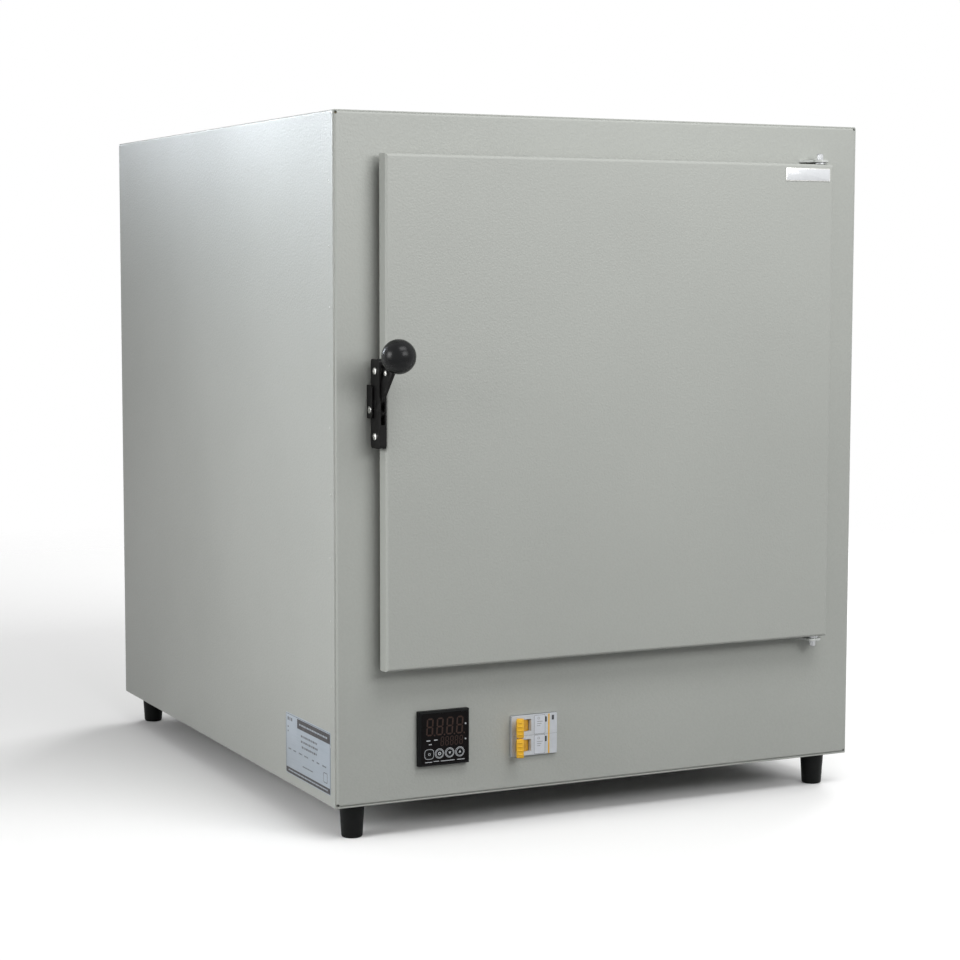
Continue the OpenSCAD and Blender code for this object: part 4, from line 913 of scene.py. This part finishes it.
def controller_face():
    """Unlit figures and printed marks on the controller's smoked window, and rings round its keys."""
    low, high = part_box("controller_window")
    centre = (low + high) / 2
    place = on_front(centre.x, low.y, centre.z)
    proud = 0.04
    pitch, small_pitch = 9.5, 4.5
    figures = bmesh.new()
    for i in range(4):
        for outline in bars_of_digit(6.6, 15.6, 1.45, 0.25):
            slab(figures, [(x - 13.95 + pitch * i, y + 10.3) for x, y in outline], SUNK, proud)
        ring(figures, 0.75, 0.0001, SUNK, proud, -9.6 + pitch * i, 2.9, 12)
    for i in range(5):
        for outline in bars_of_digit(3.3, 8.2, 0.75, 0.15):
            slab(figures, [(x - 2.1 + small_pitch * i, y - 2.9) for x, y in outline], SUNK, proud)
    set_on(as_mesh("unlit_figures", figures, unlit_digit, place), "cabinet", "window_plastic")
    prints = bmesh.new()
    for x, y in ((20.2, 10.9), (20.2, -2.5)):
        turned(prints, [(0, SUNK), (0.75, SUNK), (0.75, proud), (0, proud)], 16, x, y)
    for x, y, w in ((-15.4, -1.5, 3.6), (-8.4, -1.3, 3.4), (-13.6, -4.9, 2.8)):
        slab(prints, rect(x - w / 2, y - 0.42, x + w / 2, y + 0.42), SUNK, proud)
    for x0, x1, y in ((-18.6, -11.8, -20.4), (-10.4, -5.2, -20.0), (-3.6, 9.6, -20.2), (12.0, 19.2, -20.2)):
        slab(prints, rect(x0, y - 0.3, x1, y + 0.3), SUNK, proud)
    set_on(as_mesh("printed_marks", prints, key_print, place), "cabinet", "window_plastic")
    rings = bmesh.new()
    for name in KEYS:
        key_low, key_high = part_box(name)
        middle = (key_low + key_high) / 2
        x, y = (middle.x - centre.x) / MM, (middle.z - centre.z) / MM
        if name == "key_1":
            band(rings, round_rect(8.9, 8.9, 2.9, x, y), round_rect(8.1, 8.1, 2.6, x, y), SUNK, 0.05)
        else:
            ring(rings, 4.4, 3.98, SUNK, 0.05, x, y, 40)
    set_on(as_mesh("key_rings", rings, key_print, place), "cabinet", "window_plastic")


def key_marks():
    """Each key's printed mark: a square, a loop and two arrows, the last three in a ring."""
    proud = 0.05
    arrow = [(0, -1.35), (1.3, 0.85), (-1.3, 0.85)]
    for i, name in enumerate(KEYS):
        low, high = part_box(name)
        middle = (low + high) / 2
        bm = bmesh.new()
        if i == 0:
            band(bm, round_rect(2.2, 1.9, 0.4), round_rect(1.5, 1.2, 0.25), SUNK, proud)
        else:
            ring(bm, 3.5, 3.1, SUNK, proud)
        if i == 1:
            ring(bm, 1.5, 0.75, SUNK, proud, sides=24)
        elif i == 2:
            slab(bm, arrow, SUNK, proud)
        elif i == 3:
            slab(bm, [(-x, -y) for x, y in arrow], SUNK, proud)
        mark = as_mesh(name + "_mark", bm, key_print, on_front(middle.x, low.y, middle.z))
        set_on(mark, name, "window_plastic")


def breaker_front():
    """The breaker's printed front: label fields, indicator slots, coloured rule and faint marks."""
    low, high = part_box("breaker_case")
    centre = (low + high) / 2
    place = on_front(centre.x, low.y, centre.z)
    label_x, label_y = 5.2, 8.9
    fields = bmesh.new()
    for s in (-1, 1):
        slab(fields, round_rect(10.2, 16.2, 0.8, label_x, s * label_y), SUNK, 0.05)
    set_on(as_mesh("breaker_labels", fields, breaker_label, place), "cabinet", "breaker_plastic")
    ink = bmesh.new()
    for y in (13.2, -4.4):
        slab(ink, round_rect(1.9, 4.8, 0.5, 11.4, y), SUNK, 0.06)
    slab(ink, round_rect(2.2, 4.2, 0.4, 18.4, 14.2), SUNK, 0.06)
    slab(ink, rect(-22.3, -0.06, 22.3, 0.06), SUNK, 0.03)
    set_on(as_mesh("breaker_slots", ink, breaker_ink, place), "cabinet", "black_plastic")
    marks = bmesh.new()
    for s in (-1, 1):
        middle = HALF_POLE * s
        ring(marks, 1.1, 0.85, 0.05, 0.08, 4.2, middle + 5.6, 20)
        for k in range(3):
            y = middle + 2.4 - 1.9 * k
            slab(marks, rect(2.6, y, 8.2 - 1.2 * k, y + 0.35), 0.05, 0.08)
    for s in (-1, 1):
        band(marks, round_rect(10.9, 16.9, 1.0, label_x, s * label_y),
             round_rect(10.5, 16.5, 0.9, label_x, s * label_y), SUNK, 0.055)
    rule = bmesh.new()
    slab(rule, rect(13.7, -17.8, 15.1, 17.8), SUNK, 0.05)
    set_on(as_mesh("breaker_rule", rule, toggle_yellow, place), "cabinet", "toggle_plastic")
    set_on(as_mesh("breaker_marks", marks, faint_ink, place), "cabinet", "breaker_plastic")


def toggle_pair():
    """Two toggles with ribbed grips on grooved drums in painted-shade yellow, tied by a pin through their
    tips.
    """
    joint = next(j for j in frame["joints"] if j["name"] == "breaker_switch")
    axis = Vector(joint["pos_m"])
    low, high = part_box("breaker_toggles")
    lean = math.radians(joint["range_deg"][1] / 2)
    out = Vector((-math.sin(lean), -math.cos(lean), 0))
    half = (high.z - low.z) / 2 / MM
    middle_z = (low.z + high.z) / 2
    half_width, radius, groove, points, grooved = 5.05, 8.0, 0.6, 96, 8
    outline = []
    for i in range(points):
        r = radius - groove * (i % grooved == 0)
        outline.append((r * math.cos(math.tau * i / points), r * math.sin(math.tau * i / points)))
    drums = bmesh.new()
    for s in (-1, 1):
        slab(drums, outline, s * HALF_POLE - half_width, s * HALF_POLE + half_width)
    upright = facing((axis.x, axis.y, middle_z), (1, 0, 0), (0, 1, 0))
    # painted shade: the drums are a darker copy of the toggles' yellow
    set_on(as_mesh("toggle_drums", drums, drum_shaded_yellow, upright, 40), "toggles", "toggle_plastic")
    tip = 18.0
    handles = bmesh.new()
    for s in (-1, 1):
        middle = s * (half / 2 + 0.1)
        rounded_block(handles, middle - half / 2 + 0.35, middle + half / 2 - 0.35,
                      tip - 2.5, tip + 2.5, -3.3, 3.3, 0.9)
        rounded_block(handles, s * HALF_POLE - half_width, s * HALF_POLE + half_width,
                      0.5, tip - 1.2, -2.2, 2.2, 0.5)
        for k in range(4):
            x = middle - 5.4 + 3.6 * k
            rounded_block(handles, x - 0.55, x + 0.55, tip + 2.2, tip + 2.95, -2.3, 2.3, 0.3)
    rounded_block(handles, -half * 0.4, half * 0.4, tip - 1.2, tip + 1.2, -1.2, 1.2, 0.4)
    place = facing((axis.x, axis.y, middle_z), (0, 0, 1), out)
    pair = as_mesh("toggle_pair", handles, toggle_yellow, place, 40)
    set_on(pair, "toggles", "toggle_plastic", "breaker_toggles")


# Rear fittings, and the guards inside

def rear_screws():
    """Screws round the rear panel, into the shell's inner lips."""
    low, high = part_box("rear_panel")
    inset = 13
    w, h = (high.x - low.x) / 2 / MM - inset, (high.z - low.z) / 2 / MM - inset
    points = [(s * w, z * h) for s in (-1, 1) for z in (-1, -0.34, 0.34, 1)] + [(-0.33 * w, h), (0.33 * w, h)]
    fastenings("rear_screws", points, cross_head(3.4, 1.8),
               on_rear((low.x + high.x) / 2, high.y, (low.z + high.z) / 2), "cabinet", 9)


def gland_details():
    """Grip ribs on the gland's dome nut and the soft seal in its bore."""
    low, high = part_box("cable_gland")
    centre = (low + high) / 2
    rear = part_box("rear_panel")[1].y
    sizes = {"Ribs": 28, "Ring radius": 12.1, "Rib width": 1.1, "Rib depth": 0.9, "Rib length": 8.2}
    marks = bpy.data.meshes.new("gland_ribs_marks")
    ribs = grown("gland_ribs", marks, rib_tree(black_plastic), sizes, black_plastic,
                 on_rear(centre.x, rear + 12.6 * MM, centre.z))
    set_on(ribs, "cabinet", "black_plastic")
    seal = bmesh.new()
    ring(seal, 8.6, 5.0, 21.2, 22.0, sides=40)
    ring(seal, 6.6, 5.0, 21.4, 22.0, sides=40)
    place = on_rear(centre.x, rear, centre.z)
    set_on(as_mesh("gland_seal", seal, foot_rubber, place), "cabinet", "foot_rubber")


def guard_rivets():
    """Rivets at the ends of the heater guards' slotted faces."""
    for hand, face in (("left", on_right), ("right", on_left)):
        low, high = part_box("guard_" + hand)
        wall = high.x if hand == "left" else low.x
        end, top = (high.y - low.y) / MM / 2 - 4.2, (high.z - low.z) / MM / 2 - 4.5
        third = (high.z - low.z) / MM / 6
        points = [(y, z) for y in (-end, end) for z in (-top, -third, third, top)]
        fastenings("guard_rivets_" + hand, points, rivet_head(1.9, 0.7),
                   face(wall, (low.y + high.y) / 2, (low.z + high.z) / 2), "cabinet", 7,
                   stainless, "stainless")


# Setting

def seen_directly(tree):
    """1 where the camera, a reflection or glass shows the backdrop, and 0 where it only gives light."""
    rays = tree.nodes.new("ShaderNodeLightPath").outputs
    shown = math_step(tree, "ADD", rays["Is Camera Ray"], rays["Is Glossy Ray"])
    return math_step(tree, "ADD", shown, rays["Is Transmission Ray"])


def floor_finish():
    """A white floor that keeps the shadow and throws little light back; it clears far off and from below."""
    made = bpy.data.materials.new("studio_floor")
    made.use_nodes = True
    tree = made.node_tree
    shader = tree.nodes["Principled BSDF"]
    shader.inputs["Roughness"].default_value = 0.9
    shader.inputs["Specular IOR Level"].default_value = 0.1
    shade, white = (0.2, 0.2, 0.2), (0.96, 0.96, 0.96)
    tree.links.new(colour_mix(tree, seen_directly(tree), shade, white), shader.inputs["Base Color"])
    where = tree.nodes.new("ShaderNodeTexCoord")
    away = tree.nodes.new("ShaderNodeVectorMath")
    away.operation = "LENGTH"
    tree.links.new(where.outputs["Object"], away.inputs[0])
    side = tree.nodes.new("ShaderNodeNewGeometry")
    above = math_step(tree, "SUBTRACT", 1, side.outputs["Backfacing"])
    near = ranged(tree, away.outputs["Value"], 0.9, 2.1, 1, 0)
    tree.links.new(math_step(tree, "MULTIPLY", near, above), shader.inputs["Alpha"])
    return made


def set_floor():
    mesh = bpy.data.meshes.new("floor")
    size = 2.2
    mesh.from_pydata([(x, y, 0) for x, y in rect(-size, -size, size, size)], [], [(0, 1, 2, 3)])
    mesh.materials.append(floor_finish())
    floor = bpy.data.objects.new("floor", mesh)
    bpy.context.scene.collection.objects.link(floor)


def set_world():
    """White to the eye and in reflections, and a lower light on the object, mostly from above."""
    world = bpy.data.worlds.new("surround")
    world.use_nodes = True
    bpy.context.scene.world = world
    tree = world.node_tree
    back = tree.nodes["Background"]
    back.inputs["Color"].default_value = (1, 1, 1, 1)
    where = tree.nodes.new("ShaderNodeTexCoord")
    split = tree.nodes.new("ShaderNodeSeparateXYZ")
    tree.links.new(where.outputs["Generated"], split.inputs[0])
    from_below, from_above = 0.17, 0.62
    strength = tree.nodes.new("ShaderNodeMix")
    strength.data_type = "FLOAT"
    light, white = strength.inputs[2], strength.inputs[3]
    tree.links.new(seen_directly(tree), strength.inputs[0])
    tree.links.new(ranged(tree, split.outputs["Z"], -0.1, 1, from_below, from_above), light)
    white.default_value = 1
    tree.links.new(strength.outputs[0], back.inputs["Strength"])


def lamp(name, place, aim, size, watts, colour=(1, 1, 1), spread=180, mirrored=True):
    """A soft lamp that the camera doesn't see; one that isn't mirrored stays out of reflections too."""
    data = bpy.data.lights.new(name, "AREA")
    data.shape = "RECTANGLE"
    data.size, data.size_y = size
    data.energy = watts
    data.color = colour
    data.spread = math.radians(spread)
    made = bpy.data.objects.new(name, data)
    bpy.context.scene.collection.objects.link(made)
    made.location = place
    made.visible_camera = False
    made.visible_glossy = mirrored
    made.rotation_mode = "QUATERNION"
    made.rotation_quaternion = (Vector(aim) - Vector(place)).to_track_quat("-Z", "Y")


def set_lamps():
    lamp("high_softbox", (0.12, -1.25, 1.8), (0, -0.25, 0.52), (1.15, 0.65), 13)
    lamp("front_softbox", (0.36, -1.75, 1.02), (0.1, -0.3, 0.72), (1.0, 0.6), 4.7, spread=105)
    lamp("side_softbox", (-1.35, -0.33, 0.6), (-0.26, -0.3, 0.18), (0.6, 0.6), 1.6, spread=70)
    lamp("sheen_softbox", (-0.8, 1.0, 0.9), (-0.26, -0.3, 0.62), (0.45, 0.45), 0.56, (0.85, 0.92, 1.0), 34)
    lamp("rear_softbox", (1.9, 1.7, 1.5), (0.1, 0.2, 0.3), (1.4, 1.2), 48, mirrored=False)


aim_camera()
dress_nodes()
weld_tacks()
rubber_feet()
base_screws()
rating_plate()
door_badge()
door_rivets()
latch_screws()
hinge_pins()
lever_knob()
controller_face()
key_marks()
breaker_front()
toggle_pair()
rear_screws()
gland_details()
guard_rivets()
set_floor()
set_world()
set_lamps()
bpy.context.scene.view_settings.view_transform = "Standard"
